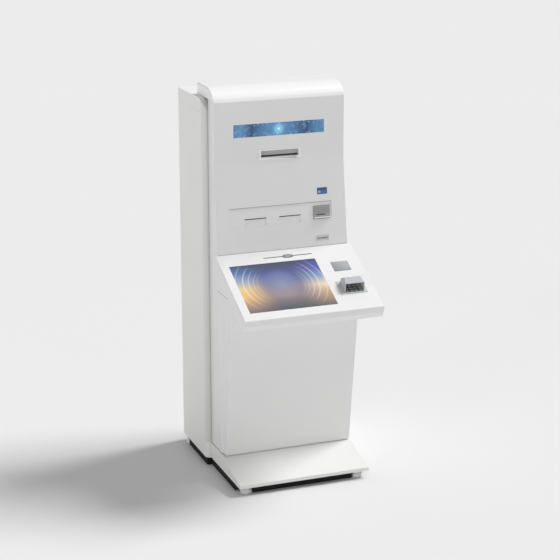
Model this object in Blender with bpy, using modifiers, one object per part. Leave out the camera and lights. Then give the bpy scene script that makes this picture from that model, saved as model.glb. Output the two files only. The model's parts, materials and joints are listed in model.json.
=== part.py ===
"""A free-standing bank self-service terminal: a rear cabinet with a rear service door, and a front
assembly that swings on a vertical rod and carries the fascia, the sloping console and every module.

Units are metres, +Z is up, the user stands at -Y. Depths are measured from the cabinet's front face,
which is y = 0 under the empty named atm_machine; that empty moves everything so that the origin is
the middle of the bounding box at floor level.
"""

from math import atan2, cos, hypot, pi, radians, sin, tan

import bmesh
import bpy

# Driving dimensions of the whole machine
HEIGHT = 1.650
CABINET_HALF_WIDTH = 0.311
CABINET_DEPTH = 0.326
CABINET_TOP = 1.601
BASE_CLEARANCE = 0.033
CONSOLE_REACH = 0.479
SHEET = 0.002
GAP = 0.0003

# Rear cabinet
ROOF_CAP_BOTTOM = 1.545
CABINET_CORNER = 0.022
ROOF_FRONT_RADIUS = 0.050
FRONT_OPENING_HALF = 0.276
RUNNER_TOP = 0.039
REAR_FRAME = (0.301, 0.312)
REAR_OPENING_HALF = 0.284
REAR_DOOR_HALF = 0.306
REAR_DOOR_FRONT = 0.317
REAR_DOOR_BOTTOM = 0.046
REAR_DOOR_TOP = 1.594
REAR_HINGE = (0.300, 0.321)
REAR_LOCK = (-0.272, 0.900)
LOCK_BORE = 0.0093
LOCK_RADIUS = 0.009
LOUVRE_HALF = 0.110
LOUVRE_PITCH = 0.016
LOUVRE_BANKS = {"low": 0.160, "high": 1.400}
COMPUTER = ((-0.280, 0.030), (-0.110, 0.280), 0.400)
FAN = (-0.195, 0.268, 0.300)
POWER_SUPPLY = ((0.100, 0.040), (0.270, 0.250), 0.150)

# Front assembly, as depths in front of the cabinet face and heights above the floor
SHELL_HALF_WIDTH = 0.288
SHELL_REAR = -0.004
SHELL_BOTTOM = 0.106
HOOD_REAR = 0.135
HOOD_BOTTOM = CABINET_TOP + 0.0008
HOOD_RADIUS = 0.105
HOOD_CREASE = 28
FASCIA_FRONT = -0.071
FASCIA_BEND_HEIGHT = 1.340
CONSOLE_REAR = (-0.116, 0.969)
CONSOLE_FRONT = (-CONSOLE_REACH, 0.793)
CONSOLE_LID_EDGE = (-0.4765, 0.769)
CONSOLE_UNDER_EDGE = (-0.460, 0.743)
CONSOLE_HALF_WIDTH = 0.301
LID_DEPTH = 0.024
CONSOLE_DEPTH = 0.0532
SUPPORT_FRONT = -0.271
COVER_TOP = 0.815
COVER_HALF_WIDTH = 0.281
COVER_REAR = -0.132
COVER_FOOT = -0.175
FRONT_HINGE = (-0.282, -0.008)
FRONT_ROD = (0.130, 1.520)
HINGE_EARS = {"lower": 0.150, "upper": 1.480}
ROD_RADIUS = 0.003
FRONT_LOCK = (-0.060, 0.700)

# Plinth and feet
PLINTH_HALF_WIDTH = 0.290
PLINTH_FRONT = -0.373
FRONT_FOOT = (0.249, -0.331)
REAR_FOOT = (0.2855, 0.284)

# Fascia modules: left, right, bottom, top
BANNER = (-0.202, 0.196, 1.445, 1.499)
RECEIPT = (-0.0925, 0.0925, 1.346, 1.389)
RECEIPT_RECESS = (-0.083, 0.084, 1.355, 1.384)
PAPER_SLOT = (0.042, 1.3565)
PAPER_ROLL = (0.044, 1.368)
PAPER_ROLL_RADIUS = 0.038
PLATEN = (-0.033, 1.3505)
SLOT_PANEL = (-0.230, 0.222, 1.075, 1.155)
DOCUMENT_SLOTS = ((-0.165, -0.069), (-0.012, 0.083))
DOCUMENT_SLOT_HEIGHT = 1.106
CARD_BEZEL = (0.140, 0.213, 1.083, 1.138)
CARD_SLOT = (0.148, 0.204, 1.101)
TOKEN_BEZEL = (0.149, 0.206, 0.990, 1.013)
TOKEN_RECESS = (0.152, 0.203, 0.993, 1.010)
TOKEN_SLOT = (0.155, 0.200, 1.000)
SLOT_GAP = 0.0036
SLOT_TOOL = 0.03

# Console modules: left, right, and the distances down the slope from its rear edge
SCREEN = (-0.265, 0.113, 0.074, 0.360)
READER_PAD = (0.170, 0.245, 0.108, 0.167)
KEYPAD = (0.148, 0.264, 0.230, 0.309)
KEYPAD_OPENING = (0.157, 0.255, 0.238, 0.303)
KEY_WELL_HALF = (0.039, 0.029)
HOOD = (0.164, 0.250, 0.240, 0.3045)
HOOD_HEIGHT = 0.0350
LIGHT_BAR = (-0.105, 0.111, 0.0435)
LIGHT_BUTTON = (0.050, 0.022)
KEY_PITCH = (0.0195, 0.0145)
KEY_SIZE = (0.0160, 0.0120)
KEY_ROWS_CENTRE = 0.2725

CONSOLE_SLOPE = atan2(CONSOLE_REAR[1] - CONSOLE_FRONT[1], CONSOLE_REAR[0] - CONSOLE_FRONT[0])
FASCIA_LEAN = atan2(FASCIA_FRONT - CONSOLE_REAR[0], FASCIA_BEND_HEIGHT - CONSOLE_REAR[1])
DEPTH_SHIFT = (CONSOLE_REACH - CABINET_DEPTH) / 2

# Colour, roughness and metallic value of each finish
WHITE = ((0.86, 0.86, 0.85), 0.45, 0.0)
LIGHT_GREY = ((0.62, 0.63, 0.64), 0.50, 0.0)
MID_GREY = ((0.36, 0.37, 0.38), 0.45, 0.0)
DARK = ((0.05, 0.05, 0.055), 0.55, 0.0)
ZINC = ((0.60, 0.61, 0.62), 0.40, 0.9)
STEEL = ((0.55, 0.56, 0.57), 0.30, 0.9)
GLASS = ((0.02, 0.03, 0.06), 0.08, 0.0)
BLUE = ((0.06, 0.22, 0.55), 0.25, 0.0)
PAPER = ((0.90, 0.89, 0.86), 0.80, 0.0)


def clear_scene():
    for obj in list(bpy.data.objects):
        bpy.data.objects.remove(obj, do_unlink=True)


def new_collection(name, hidden=False):
    collection = bpy.data.collections.new(name)
    bpy.context.scene.collection.children.link(collection)
    collection.hide_render = hidden
    return collection


def empty(name, location=(0, 0, 0), tilt=0.0, parent=None):
    obj = bpy.data.objects.new(name, None)
    obj.location = location
    obj.rotation_euler = (tilt, 0, 0)
    obj.parent = parent
    PARTS.objects.link(obj)
    return obj


def finish(obj, look):
    """Give the piece its own material."""
    colour, roughness, metallic = look
    material = bpy.data.materials.new(obj.name)
    material.use_nodes = True
    shader = material.node_tree.nodes["Principled BSDF"]
    shader.inputs["Base Color"].default_value = (*colour, 1)
    shader.inputs["Roughness"].default_value = roughness
    shader.inputs["Metallic"].default_value = metallic
    obj.data.materials.clear()
    obj.data.materials.append(material)


def add_mesh(name, mesh, parent, location=(0, 0, 0), look=WHITE):
    obj = bpy.data.objects.new(name, mesh)
    obj.location = location
    obj.parent = parent
    PARTS.objects.link(obj)
    finish(obj, look)
    return obj


def mesh_from(name, bm):
    bmesh.ops.recalc_face_normals(bm, faces=bm.faces)
    mesh = bpy.data.meshes.new(name)
    bm.to_mesh(mesh)
    bm.free()
    return mesh


def block(name, low, high, parent, look=WHITE, bevel=0.0):
    """A box between two corners, with its origin in the middle."""
    size = [high[i] - low[i] for i in range(3)]
    middle = [(high[i] + low[i]) / 2 for i in range(3)]
    bm = bmesh.new()
    bmesh.ops.create_cube(bm, size=1.0)
    bmesh.ops.scale(bm, vec=size, verts=bm.verts)
    if bevel:
        bmesh.ops.bevel(
            bm, geom=bm.edges, offset=bevel, segments=1, profile=0.5, affect="EDGES", material=-1
        )
    return add_mesh(name, mesh_from(name, bm), parent, middle, look)


def cylinder(name, radius, length, centre, axis, parent, look=WHITE, sides=20):
    """A solid cylinder along X, Y or Z, with its origin in the middle."""
    bm = bmesh.new()
    bmesh.ops.create_cone(
        bm, cap_ends=True, segments=sides, radius1=radius, radius2=radius, depth=length
    )
    obj = add_mesh(name, mesh_from(name, bm), parent, centre, look)
    turns = {"X": (0, pi / 2, 0), "Y": (pi / 2, 0, 0), "Z": (0, 0, 0)}
    obj.rotation_euler = turns[axis]
    for face in obj.data.polygons:
        face.use_smooth = len(face.vertices) == 4
    return obj


def turned(name, profile, location, parent, look, steps=20):
    """A piece turned about Z from a profile that runs from the axis, down the outside, to the axis."""
    mesh = bpy.data.meshes.new(name)
    points = [(radius, 0, height) for radius, height in profile]
    mesh.from_pydata(points, [(i, i + 1) for i in range(len(points) - 1)], [])
    obj = add_mesh(name, mesh, parent, location, look)
    screw = obj.modifiers.new("turn", "SCREW")
    screw.steps = steps
    screw.render_steps = steps
    screw.use_merge_vertices = True
    screw.merge_threshold = 0.0001
    return obj


def prism(name, outline, half_width, parent, look=WHITE, centre_x=0.0):
    """A side outline of (depth, height) points, extruded across the machine."""
    curve = bpy.data.curves.new(name, "CURVE")
    curve.dimensions = "2D"
    curve.fill_mode = "BOTH"
    curve.extrude = half_width
    spline = curve.splines.new("POLY")
    spline.points.add(len(outline) - 1)
    for point, (depth, height) in zip(spline.points, outline):
        point.co = (depth, height, 0, 1)
    spline.use_cyclic_u = True
    drawn = bpy.data.objects.new(name + "_outline", curve)
    PARTS.objects.link(drawn)
    evaluated = drawn.evaluated_get(bpy.context.evaluated_depsgraph_get())
    mesh = bpy.data.meshes.new_from_object(evaluated)
    bpy.data.objects.remove(drawn)
    bm = bmesh.new()
    bm.from_mesh(mesh)
    bmesh.ops.remove_doubles(bm, verts=bm.verts, dist=0.00001)
    bmesh.ops.dissolve_limit(bm, angle_limit=radians(1), verts=bm.verts, edges=bm.edges)
    obj = add_mesh(name, mesh_from(name, bm), parent, (centre_x, 0, 0), look)
    obj.rotation_euler = (pi / 2, 0, pi / 2)
    return obj


def inset(outline, walls):
    """Move each side of a clockwise outline inwards by its wall; a negative wall moves it outwards."""
    lines = []
    for (x1, y1), (x2, y2), wall in zip(outline, outline[1:] + outline[:1], walls):
        length = hypot(x2 - x1, y2 - y1)
        along = ((x2 - x1) / length, (y2 - y1) / length)
        lines.append(((x1 + along[1] * wall, y1 - along[0] * wall), along))
    corners = []
    for (start, along), (other, across) in zip(lines[-1:] + lines[:-1], lines):
        turn = along[0] * across[1] - along[1] * across[0]
        gap = (other[0] - start[0], other[1] - start[1])
        step = (gap[0] * across[1] - gap[1] * across[0]) / turn
        corners.append((start[0] + along[0] * step, start[1] + along[1] * step))
    return corners


def sheet_box(name, outline, half_width, open_sides, parent, centre_x=0.0):
    """A folded sheet-metal box with a clockwise side outline, open on the sides that are numbered."""
    walls = [-0.02 if i in open_sides else SHEET for i in range(len(outline))]
    box = prism(name, outline, half_width, parent, WHITE, centre_x)
    inside = prism(
        name + "_inside", inset(outline, walls), half_width - SHEET, parent, WHITE, centre_x
    )
    cut(box, inside)
    return box


def thicken(obj, thickness):
    solidify = obj.modifiers.new("sheet", "SOLIDIFY")
    solidify.thickness = thickness
    solidify.offset = -1
    solidify.use_even_offset = True


def folded_sheet(name, path, low, high, direction, parent, thickness=SHEET, look=WHITE):
    """An open path of points in one plane, drawn out along X or Z and thickened to its left."""
    bm = bmesh.new()
    if direction == "X":
        points = [(low, depth, height) for depth, height in path]
        sweep = (high - low, 0, 0)
    else:
        points = [(across, depth, low) for across, depth in path]
        sweep = (0, 0, high - low)
    verts = [bm.verts.new(point) for point in points]
    edges = [bm.edges.new(pair) for pair in zip(verts, verts[1:])]
    swept = bmesh.ops.extrude_edge_only(bm, edges=edges)["geom"]
    moved = [item for item in swept if isinstance(item, bmesh.types.BMVert)]
    bmesh.ops.translate(bm, vec=sweep, verts=moved)
    mesh = bpy.data.meshes.new(name)
    bm.to_mesh(mesh)
    bm.free()
    obj = add_mesh(name, mesh, parent, (0, 0, 0), look)
    thicken(obj, thickness)
    return obj


def combine(obj, other, operation):
    """Cut or join with another solid, which then only serves as a tool."""
    modifier = obj.modifiers.new(other.name, "BOOLEAN")
    modifier.operation = operation
    modifier.object = other
    PARTS.objects.unlink(other)
    CUTTERS.objects.link(other)
    other.hide_render = True
    other.display_type = "WIRE"


def cut(obj, other):
    combine(obj, other, "DIFFERENCE")


def join(obj, other):
    combine(obj, other, "UNION")


def arc(centre, radius, start, end, steps):
    """Points on an arc, in degrees anticlockwise from the first axis."""
    angles = [radians(start + (end - start) * i / steps) for i in range(steps + 1)]
    return [(centre[0] + radius * cos(a), centre[1] + radius * sin(a)) for a in angles]


def side_panel(side):
    """A cabinet side: one sheet bent round the front corner into a flange."""
    half = CABINET_HALF_WIDTH
    corner = (half - CABINET_CORNER, CABINET_CORNER)
    path = [(half, CABINET_DEPTH), (half, CABINET_CORNER)]
    path += arc(corner, CABINET_CORNER, 0, -90, 4)[1:]
    path += [(FRONT_OPENING_HALF, 0)]
    if side == "left":
        path = [(-across, depth) for across, depth in reversed(path)]
    top = ROOF_CAP_BOTTOM - GAP
    return folded_sheet(side + "_side_panel", path, BASE_CLEARANCE, top, "Z", MACHINE)


def rounded_cap(name, inset, bottom, rear):
    """The cabinet's top block: round front corners in plan, and a large round along its front edge."""
    half = CABINET_HALF_WIDTH - inset
    top = CABINET_TOP - inset
    cap = block(name, (-half, inset, bottom), (half, rear, top), MACHINE)
    bm = bmesh.new()
    bm.from_mesh(cap.data)
    front = [
        edge
        for edge in bm.edges
        if all(vert.co.y < 0 for vert in edge.verts)
        and edge.verts[0].co.x * edge.verts[1].co.x > 0
    ]
    bmesh.ops.bevel(
        bm,
        geom=front,
        offset=CABINET_CORNER - inset,
        segments=4,
        profile=0.5,
        affect="EDGES",
        material=-1,
    )
    bm.to_mesh(cap.data)
    bm.free()
    radius = ROOF_FRONT_RADIUS - inset
    centre = (inset + radius, top - radius)
    outline = [(inset, bottom - 0.01)] + arc(centre, radius, 180, 90, 6)
    outline += [(rear + 0.01, top), (rear + 0.01, bottom - 0.01)]
    rounding = prism(name + "_rounding", outline, half + 0.01, MACHINE)
    combine(cap, rounding, "INTERSECT")
    return cap


def roof_panel():
    cap = rounded_cap("roof_panel", 0, ROOF_CAP_BOTTOM, CABINET_DEPTH)
    inside = rounded_cap("roof_inside", SHEET, ROOF_CAP_BOTTOM - 0.02, CABINET_DEPTH + 0.02)
    cut(cap, inside)


def base_frame():
    """Two runners with a cross member at each end, the rear one wider, drilled for the feet."""
    front, rear, low = PLINTH_FRONT + 0.008, 0.300, BASE_CLEARANCE + GAP
    frame = block("base_frame", (-0.274, front, low), (0.274, rear, RUNNER_TOP), MACHINE, ZINC)
    middle = block(
        "frame_window", (-0.222, front + 0.040, 0), (0.222, rear - 0.040, 0.1), MACHINE
    )
    cut(frame, middle)
    wide = REAR_FOOT[0] + 0.014
    join(frame, block("rear_member", (-wide, rear - 0.050, low), (wide, rear, RUNNER_TOP), MACHINE))
    for name, across, depth in foot_places():
        hole = cylinder(name + "_hole", 0.0065, 0.1, (across, depth, 0.05), "Z", MACHINE)
        cut(frame, hole)


def foot_places():
    for end, (across, depth) in (("front", FRONT_FOOT), ("rear", REAR_FOOT)):
        yield "foot_" + end + "_left", -across, depth
        yield "foot_" + end + "_right", across, depth


def feet():
    """Levelling feet: a ribbed round pad under the frame, with a stem up through it."""
    stem, neck, pad, top = 0.006, 0.021, 0.025, BASE_CLEARANCE
    stem_top = RUNNER_TOP - 0.001
    profile = [(0, stem_top), (stem, stem_top), (stem, top), (neck, top), (neck, 0.021)]
    profile += [(pad, 0.018), (pad, 0.003), (pad - 0.003, 0), (0, 0)]
    for name, across, depth in foot_places():
        turned(name, profile, (across, depth, 0), MACHINE, LIGHT_GREY)


def plinth_cover():
    """The low wedge in front of the cabinet, open underneath and behind."""
    top, bottom = SHELL_BOTTOM - 0.003, BASE_CLEARANCE
    outline = [(-0.001, bottom), (PLINTH_FRONT, bottom), (PLINTH_FRONT, 0.048), (-0.271, 0.068)]
    outline += [(-0.176, top), (-0.001, top)]
    sheet_box("plinth_cover", outline, PLINTH_HALF_WIDTH, (0, 5), MACHINE)


def rear_frame():
    low, high = RUNNER_TOP + 0.0036, CABINET_TOP - SHEET - GAP
    front, rear = REAR_FRAME
    half = CABINET_HALF_WIDTH - SHEET - GAP
    frame = block("rear_frame", (-half, front, low), (half, rear, high), MACHINE, ZINC)
    inner = REAR_OPENING_HALF
    window = block("rear_window", (-inner, 0.2, low + 0.03), (inner, 0.4, high - 0.03), MACHINE)
    cut(frame, window)


def cabinet_floor():
    half = CABINET_HALF_WIDTH - SHEET - GAP
    low = (-half, CABINET_CORNER + GAP, RUNNER_TOP + GAP)
    block("cabinet_floor", low, (half, CABINET_DEPTH - 0.0005, RUNNER_TOP + 0.0033), MACHINE, ZINC)


def rear_door():
    """A shallow pan with two banks of narrow louvres, hung on a rod at its right-hand edge."""
    hinge = empty("rear_door_hinge", (*REAR_HINGE, 0), parent=MACHINE)
    shift_x, shift_y = REAR_HINGE
    low = (-REAR_DOOR_HALF - shift_x, REAR_DOOR_FRONT - shift_y, REAR_DOOR_BOTTOM)
    high = (REAR_DOOR_HALF - shift_x, CABINET_DEPTH - shift_y, REAR_DOOR_TOP)
    door = block("rear_door", low, high, hinge)
    inside_low = (low[0] + SHEET, low[1] - 0.01, low[2] + SHEET)
    inside_high = (high[0] - SHEET, high[1] - SHEET, high[2] - SHEET)
    cut(door, block("rear_door_inside", inside_low, inside_high, hinge))
    for bank, height in LOUVRE_BANKS.items():
        for row in range(5):
            level = height + LOUVRE_PITCH * row
            slot_low = (-LOUVRE_HALF - shift_x, -0.01, level)
            slot_high = (LOUVRE_HALF - shift_x, 0.02, level + SLOT_GAP)
            cut(door, block("louvre_" + bank + "_" + str(row), slot_low, slot_high, hinge))
    bore = cylinder("rear_rod_bore", ROD_RADIUS + 0.0001, 1.7, (0, 0, 0.8), "Z", hinge)
    cut(door, bore)
    lock_centre = (REAR_LOCK[0] - shift_x, 0.004, REAR_LOCK[1])
    cut(door, cylinder("rear_lock_bore", LOCK_BORE, 0.03, lock_centre, "Y", hinge))
    rod_low, rod_high = RUNNER_TOP + 0.0036, CABINET_TOP - SHEET - GAP
    rod_centre = (*REAR_HINGE, (rod_low + rod_high) / 2)
    cylinder("rear_hinge_rod", ROD_RADIUS, rod_high - rod_low, rod_centre, "Z", MACHINE, STEEL, 12)
    return hinge


def cam_lock(name, place, parent, turn, proud):
    """A key barrel that turns about its outward axis, local +Y, and carries a cam on its inner end."""
    centre = empty(name + "_axis", place, parent=parent)
    centre.rotation_euler.z = turn
    barrel = cylinder(name, LOCK_RADIUS, 0.028, (0, proud - 0.014, 0), "Y", centre, STEEL)
    cam_front = proud - 0.0265
    cam = block(name + "_cam", (-0.006, cam_front - 0.003, -0.036), (0.006, cam_front, 0.008), centre)
    join(barrel, cam)
    cut(barrel, block(name + "_key_slot", (-0.0012, -0.008, -0.004), (0.0012, 0.01, 0.004), centre))


def computer():
    """The controller box on the cabinet floor, with a round well at the back for its fan."""
    front, rear, top = COMPUTER
    case = block("computer", (*front, RUNNER_TOP + 0.0036), (*rear, top), MACHINE, DARK, 0.002)
    across, depth, height = FAN
    cut(case, cylinder("fan_well", 0.044, 0.050, (across, rear[1], height), "Y", MACHINE, sides=24))
    hub = cylinder("computer_fan", 0.016, 0.018, FAN, "Y", MACHINE, MID_GREY)
    blades = 7
    for blade in range(blades):
        angle = 2 * pi * blade / blades
        wing_low, wing_high = (0.010, -0.010, -0.0008), (0.041, 0.010, 0.0008)
        wing = block("fan_blade_" + str(blade), wing_low, wing_high, MACHINE)
        wing.location = (across + 0.026 * cos(angle), depth, height + 0.026 * sin(angle))
        wing.rotation_euler = (radians(30), -angle, 0)
        join(hub, wing)


def power_supply():
    front, rear, top = POWER_SUPPLY
    low, high = (*front, RUNNER_TOP + 0.0036), (*rear, top)
    supply = block("power_supply", low, high, MACHINE, ZINC, 0.002)
    socket = block("supply_socket", (0.170, 0.236, 0.080), (0.197, 0.26, 0.099), MACHINE)
    cut(supply, socket)


def hood_arc():
    """The hood's round nose, which meets the upright fascia in a shallow crease."""
    centre = (FASCIA_FRONT + HOOD_RADIUS * cos(radians(HOOD_CREASE)), HEIGHT - HOOD_RADIUS)
    return arc(centre, HOOD_RADIUS, 90, 180 - HOOD_CREASE, 7)


def console_point(down_slope, height):
    """A point of the sloping console, as depth and height."""
    depth = CONSOLE_REAR[0] - down_slope * cos(CONSOLE_SLOPE) - height * sin(CONSOLE_SLOPE)
    level = CONSOLE_REAR[1] - down_slope * sin(CONSOLE_SLOPE) + height * cos(CONSOLE_SLOPE)
    return depth, level


def hinge_local(outline):
    """Shift side outline points to the front assembly's hinge."""
    return [(depth - FRONT_HINGE[1], height) for depth, height in outline]


def cheek(side):
    """A side wall of the front assembly, from the plinth to the hood, with an arm under the console."""
    clear = 0.0006
    rear_top = console_point(-clear, 0)
    rear_under = console_point(-clear, -CONSOLE_DEPTH - clear)
    reach = (rear_under[0] - SUPPORT_FRONT) / cos(CONSOLE_SLOPE)
    arm_top = console_point(reach - clear, -CONSOLE_DEPTH - clear)
    outline = [(SHELL_REAR, SHELL_BOTTOM), (SHELL_REAR, HOOD_BOTTOM), (HOOD_REAR, HOOD_BOTTOM)]
    outline += [(HOOD_REAR, HEIGHT)] + hood_arc()
    outline += [(FASCIA_FRONT, FASCIA_BEND_HEIGHT), rear_top, rear_under, arm_top]
    outline += [(SUPPORT_FRONT, COVER_TOP), (COVER_REAR, COVER_TOP), (COVER_REAR, SHELL_BOTTOM)]
    sign = 1 if side == "right" else -1
    middle = sign * (SHELL_HALF_WIDTH - SHEET / 2) - FRONT_HINGE[0]
    return prism(side + "_cheek", hinge_local(outline), SHEET / 2, DOOR, WHITE, middle)


def return_flange(plate, side):
    """The cheek's folded front edge below the console, which the lower cover closes against."""
    sign = 1 if side == "right" else -1
    edges = sorted((sign * (COVER_HALF_WIDTH - 0.012), sign * (SHELL_HALF_WIDTH - SHEET / 2)))
    low = (edges[0], COVER_REAR, SHELL_BOTTOM)
    high = (edges[1], COVER_REAR + SHEET, COVER_TOP - 0.001)
    join(plate, front_piece(side + "_return_flange", low, high))


def support_rail():
    """The rail between the cheek arms that the console tray rests over."""
    clear = 0.0008
    front, rear = SUPPORT_FRONT, SUPPORT_FRONT + 0.020
    bottom = COVER_TOP + GAP
    edge_depth, edge_height = CONSOLE_UNDER_EDGE
    slope = sin(CONSOLE_SLOPE) / cos(CONSOLE_SLOPE)
    top_front = edge_height + (front - edge_depth) * slope - clear
    top_rear = edge_height + (rear - edge_depth) * slope - clear
    outline = [(rear, bottom), (front, bottom), (front, top_front), (rear, top_rear)]
    half = SHELL_HALF_WIDTH - SHEET - GAP
    sheet_box("support_rail", hinge_local(outline), half, (3,), DOOR, -FRONT_HINGE[0])


def hinge_tabs(plate):
    """Two drilled ears that hang the left cheek on the hinge rod."""
    for name, height in HINGE_EARS.items():
        ear = block(name + "_ear", (-0.0052, -0.007, height), (0.009, 0.0048, height + 0.006), DOOR)
        join(plate, ear)
        cut(plate, cylinder(name + "_ear_bore", 0.0035, 0.02, (0, 0, height), "Z", DOOR, sides=12))


def front_hinge_rod():
    """The fixed rod of the front assembly, with an arm at each end that grips behind the flange."""
    across, depth = FRONT_HINGE
    low, high = FRONT_ROD
    centre = (across, depth, (low + high) / 2)
    rod = cylinder("front_hinge_rod", ROD_RADIUS, high - low, centre, "Z", MACHINE, STEEL, 12)
    for name, height in (("lower", low), ("upper", high - 0.006)):
        arm_low = (across - 0.0025, depth - 0.003, height)
        arm_high = (across + 0.014, depth + 0.001, height + 0.006)
        join(rod, block(name + "_arm", arm_low, arm_high, MACHINE))
        web_low = (across + 0.0085, depth - 0.003, height - 0.01)
        web_high = (across + 0.0145, 0.006, height + 0.016)
        join(rod, block(name + "_arm_web", web_low, web_high, MACHINE))
        grip_low = (across - 0.006, SHEET + GAP, height - 0.01)
        join(rod, block(name + "_arm_grip", grip_low, web_high, MACHINE))


def front_piece(name, low, high, look=WHITE, bevel=0.0):
    """A box of the front assembly, given in cabinet coordinates."""
    shift = (FRONT_HINGE[0], FRONT_HINGE[1], 0)
    moved = [[corner[i] - shift[i] for i in range(3)] for corner in (low, high)]
    return block(name, moved[0], moved[1], DOOR, look, bevel)


def fascia_panel():
    """The bent front sheet: hood top, round nose, upright banner field and leaning slot field."""
    inner = SHELL_HALF_WIDTH - SHEET - GAP
    path = [(HOOD_REAR, HOOD_BOTTOM), (HOOD_REAR, HEIGHT)] + hood_arc()
    path += [(FASCIA_FRONT, FASCIA_BEND_HEIGHT), console_point(-0.0006, 0)]
    low, high = -inner - FRONT_HINGE[0], inner - FRONT_HINGE[0]
    panel = folded_sheet("fascia_panel", hinge_local(path[::-1]), low, high, "X", DOOR)
    windows = {"banner": BANNER, "receipt": RECEIPT, "slot_panel": SLOT_PANEL, "token": TOKEN_BEZEL}
    for name, (left, right, bottom, top) in windows.items():
        window = front_piece(name + "_window", (left, -0.15, bottom), (right, -0.03, top))
        cut(panel, window)


def banner():
    left, right, bottom, top = BANNER
    panel_low = (left + GAP, FASCIA_FRONT + 0.0005, bottom + GAP)
    front_piece("banner_panel", panel_low, (right - GAP, FASCIA_FRONT + 0.005, top - GAP), BLUE)
    front, rear, edge = FASCIA_FRONT + SHEET + GAP, FASCIA_FRONT + 0.032, 0.005
    tray = front_piece(
        "banner_light_tray",
        (left - edge, front, bottom - edge),
        (right + edge, rear, top + edge),
        LIGHT_GREY,
    )
    hollow = front_piece(
        "banner_hollow",
        (left - edge + 0.0015, front - 0.01, bottom - edge + 0.0015),
        (right + edge - 0.0015, rear - 0.0015, top + edge - 0.0015),
    )
    cut(tray, hollow)


def receipt_unit():
    """The receipt mouth, the printer behind it, its platen and its paper roll."""
    left, right, bottom, top = RECEIPT
    front, rear = FASCIA_FRONT - 0.003, FASCIA_FRONT + 0.022
    bezel = front_piece(
        "receipt_bezel", (left + GAP, front, bottom + GAP), (right - GAP, rear, top - GAP), LIGHT_GREY
    )
    recess_left, recess_right, recess_bottom, recess_top = RECEIPT_RECESS
    recess_low = (recess_left, -0.1, recess_bottom)
    cut(bezel, front_piece("receipt_recess", recess_low, (recess_right, rear - 0.006, recess_top)))
    half, level = PAPER_SLOT
    slot_low = (-half, -0.1, level)
    cut(bezel, front_piece("receipt_slot", slot_low, (half, 0.0, level + SLOT_GAP)))
    printer = front_piece(
        "receipt_printer", (-0.065, rear + 0.002, 1.310), (0.065, 0.094, 1.400), DARK, 0.002
    )
    roll_depth, roll_height = PAPER_ROLL
    roll_place = (-FRONT_HINGE[0], roll_depth - FRONT_HINGE[1], roll_height)
    bay = cylinder("roll_bay", PAPER_ROLL_RADIUS + 0.006, 0.092, roll_place, "X", DOOR, sides=24)
    cut(printer, bay)
    cut(printer, front_piece("roll_way_in", (-0.046, 0.000, roll_height), (0.046, 0.088, 1.450)))
    cut(printer, front_piece("paper_path", slot_low, (half, 0.02, level + SLOT_GAP)))
    cut(printer, front_piece("platen_bay", (-0.044, -0.041, 1.343), (0.044, -0.025, 1.358)))
    platen_depth, platen_height = PLATEN
    platen_place = (-FRONT_HINGE[0], platen_depth - FRONT_HINGE[1], platen_height)
    cylinder("receipt_platen", 0.0055, 0.086, platen_place, "X", DOOR, DARK, 16)
    roll = cylinder("paper_roll", PAPER_ROLL_RADIUS, 0.080, roll_place, "X", DOOR, PAPER, 28)
    cut(roll, cylinder("roll_core", 0.007, 0.1, roll_place, "X", DOOR, sides=12))


def up_face(height):
    """Distance up the leaning fascia field from the console's rear edge."""
    return (height - CONSOLE_REAR[1]) / cos(FASCIA_LEAN)


def leaning_block(name, left, right, bottom, top, outer, inner, look=WHITE):
    """A box on the leaning field: outer and inner are distances out from its face."""
    low = (left, -outer, up_face(bottom))
    return block(name, low, (right, -inner, up_face(top)), LEAN, look)


def slot_panel():
    """The recessed insert with two document slots, deepest along its top edge."""
    left, right, bottom, top = SLOT_PANEL
    panel = leaning_block(
        "slot_panel", left + GAP, right - GAP, bottom + GAP, top - GAP, 0.0, -0.014
    )
    ramp = leaning_block("slot_ramp", left + 0.002, right - 0.002, bottom, top - 0.002, SLOT_TOOL, 0.0)
    ramp.rotation_euler = (atan2(-0.007, up_face(top) - up_face(bottom)), 0, 0)
    ramp.location.y += 0.0035
    cut(panel, ramp)
    middle, half, reach = DOCUMENT_SLOT_HEIGHT, SLOT_GAP / 2, SLOT_TOOL
    for number, (slot_left, slot_right) in enumerate(DOCUMENT_SLOTS, 1):
        name = "document_slot_" + str(number)
        sides = (slot_left, slot_right)
        cut(panel, leaning_block(name, *sides, middle - half, middle + half, reach, -reach))
        scoop = leaning_block(name + "_scoop", *sides, middle - 0.030, middle, reach, -0.0025)
        scoop.rotation_euler = (radians(-10), 0, 0)
        cut(panel, scoop)
    cut(panel, leaning_block("card_window", *CARD_BEZEL, reach, -reach))


def document_printer():
    body = leaning_block("document_printer", -0.190, 0.112, 1.060, 1.152, -0.0155, -0.150, DARK)
    middle = DOCUMENT_SLOT_HEIGHT
    for number, (left, right) in enumerate(DOCUMENT_SLOTS, 1):
        name = "document_path_" + str(number)
        low, high = middle - SLOT_GAP / 2, middle + SLOT_GAP / 2
        cut(body, leaning_block(name, left, right, low, high, 0.0, -0.110))


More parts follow.
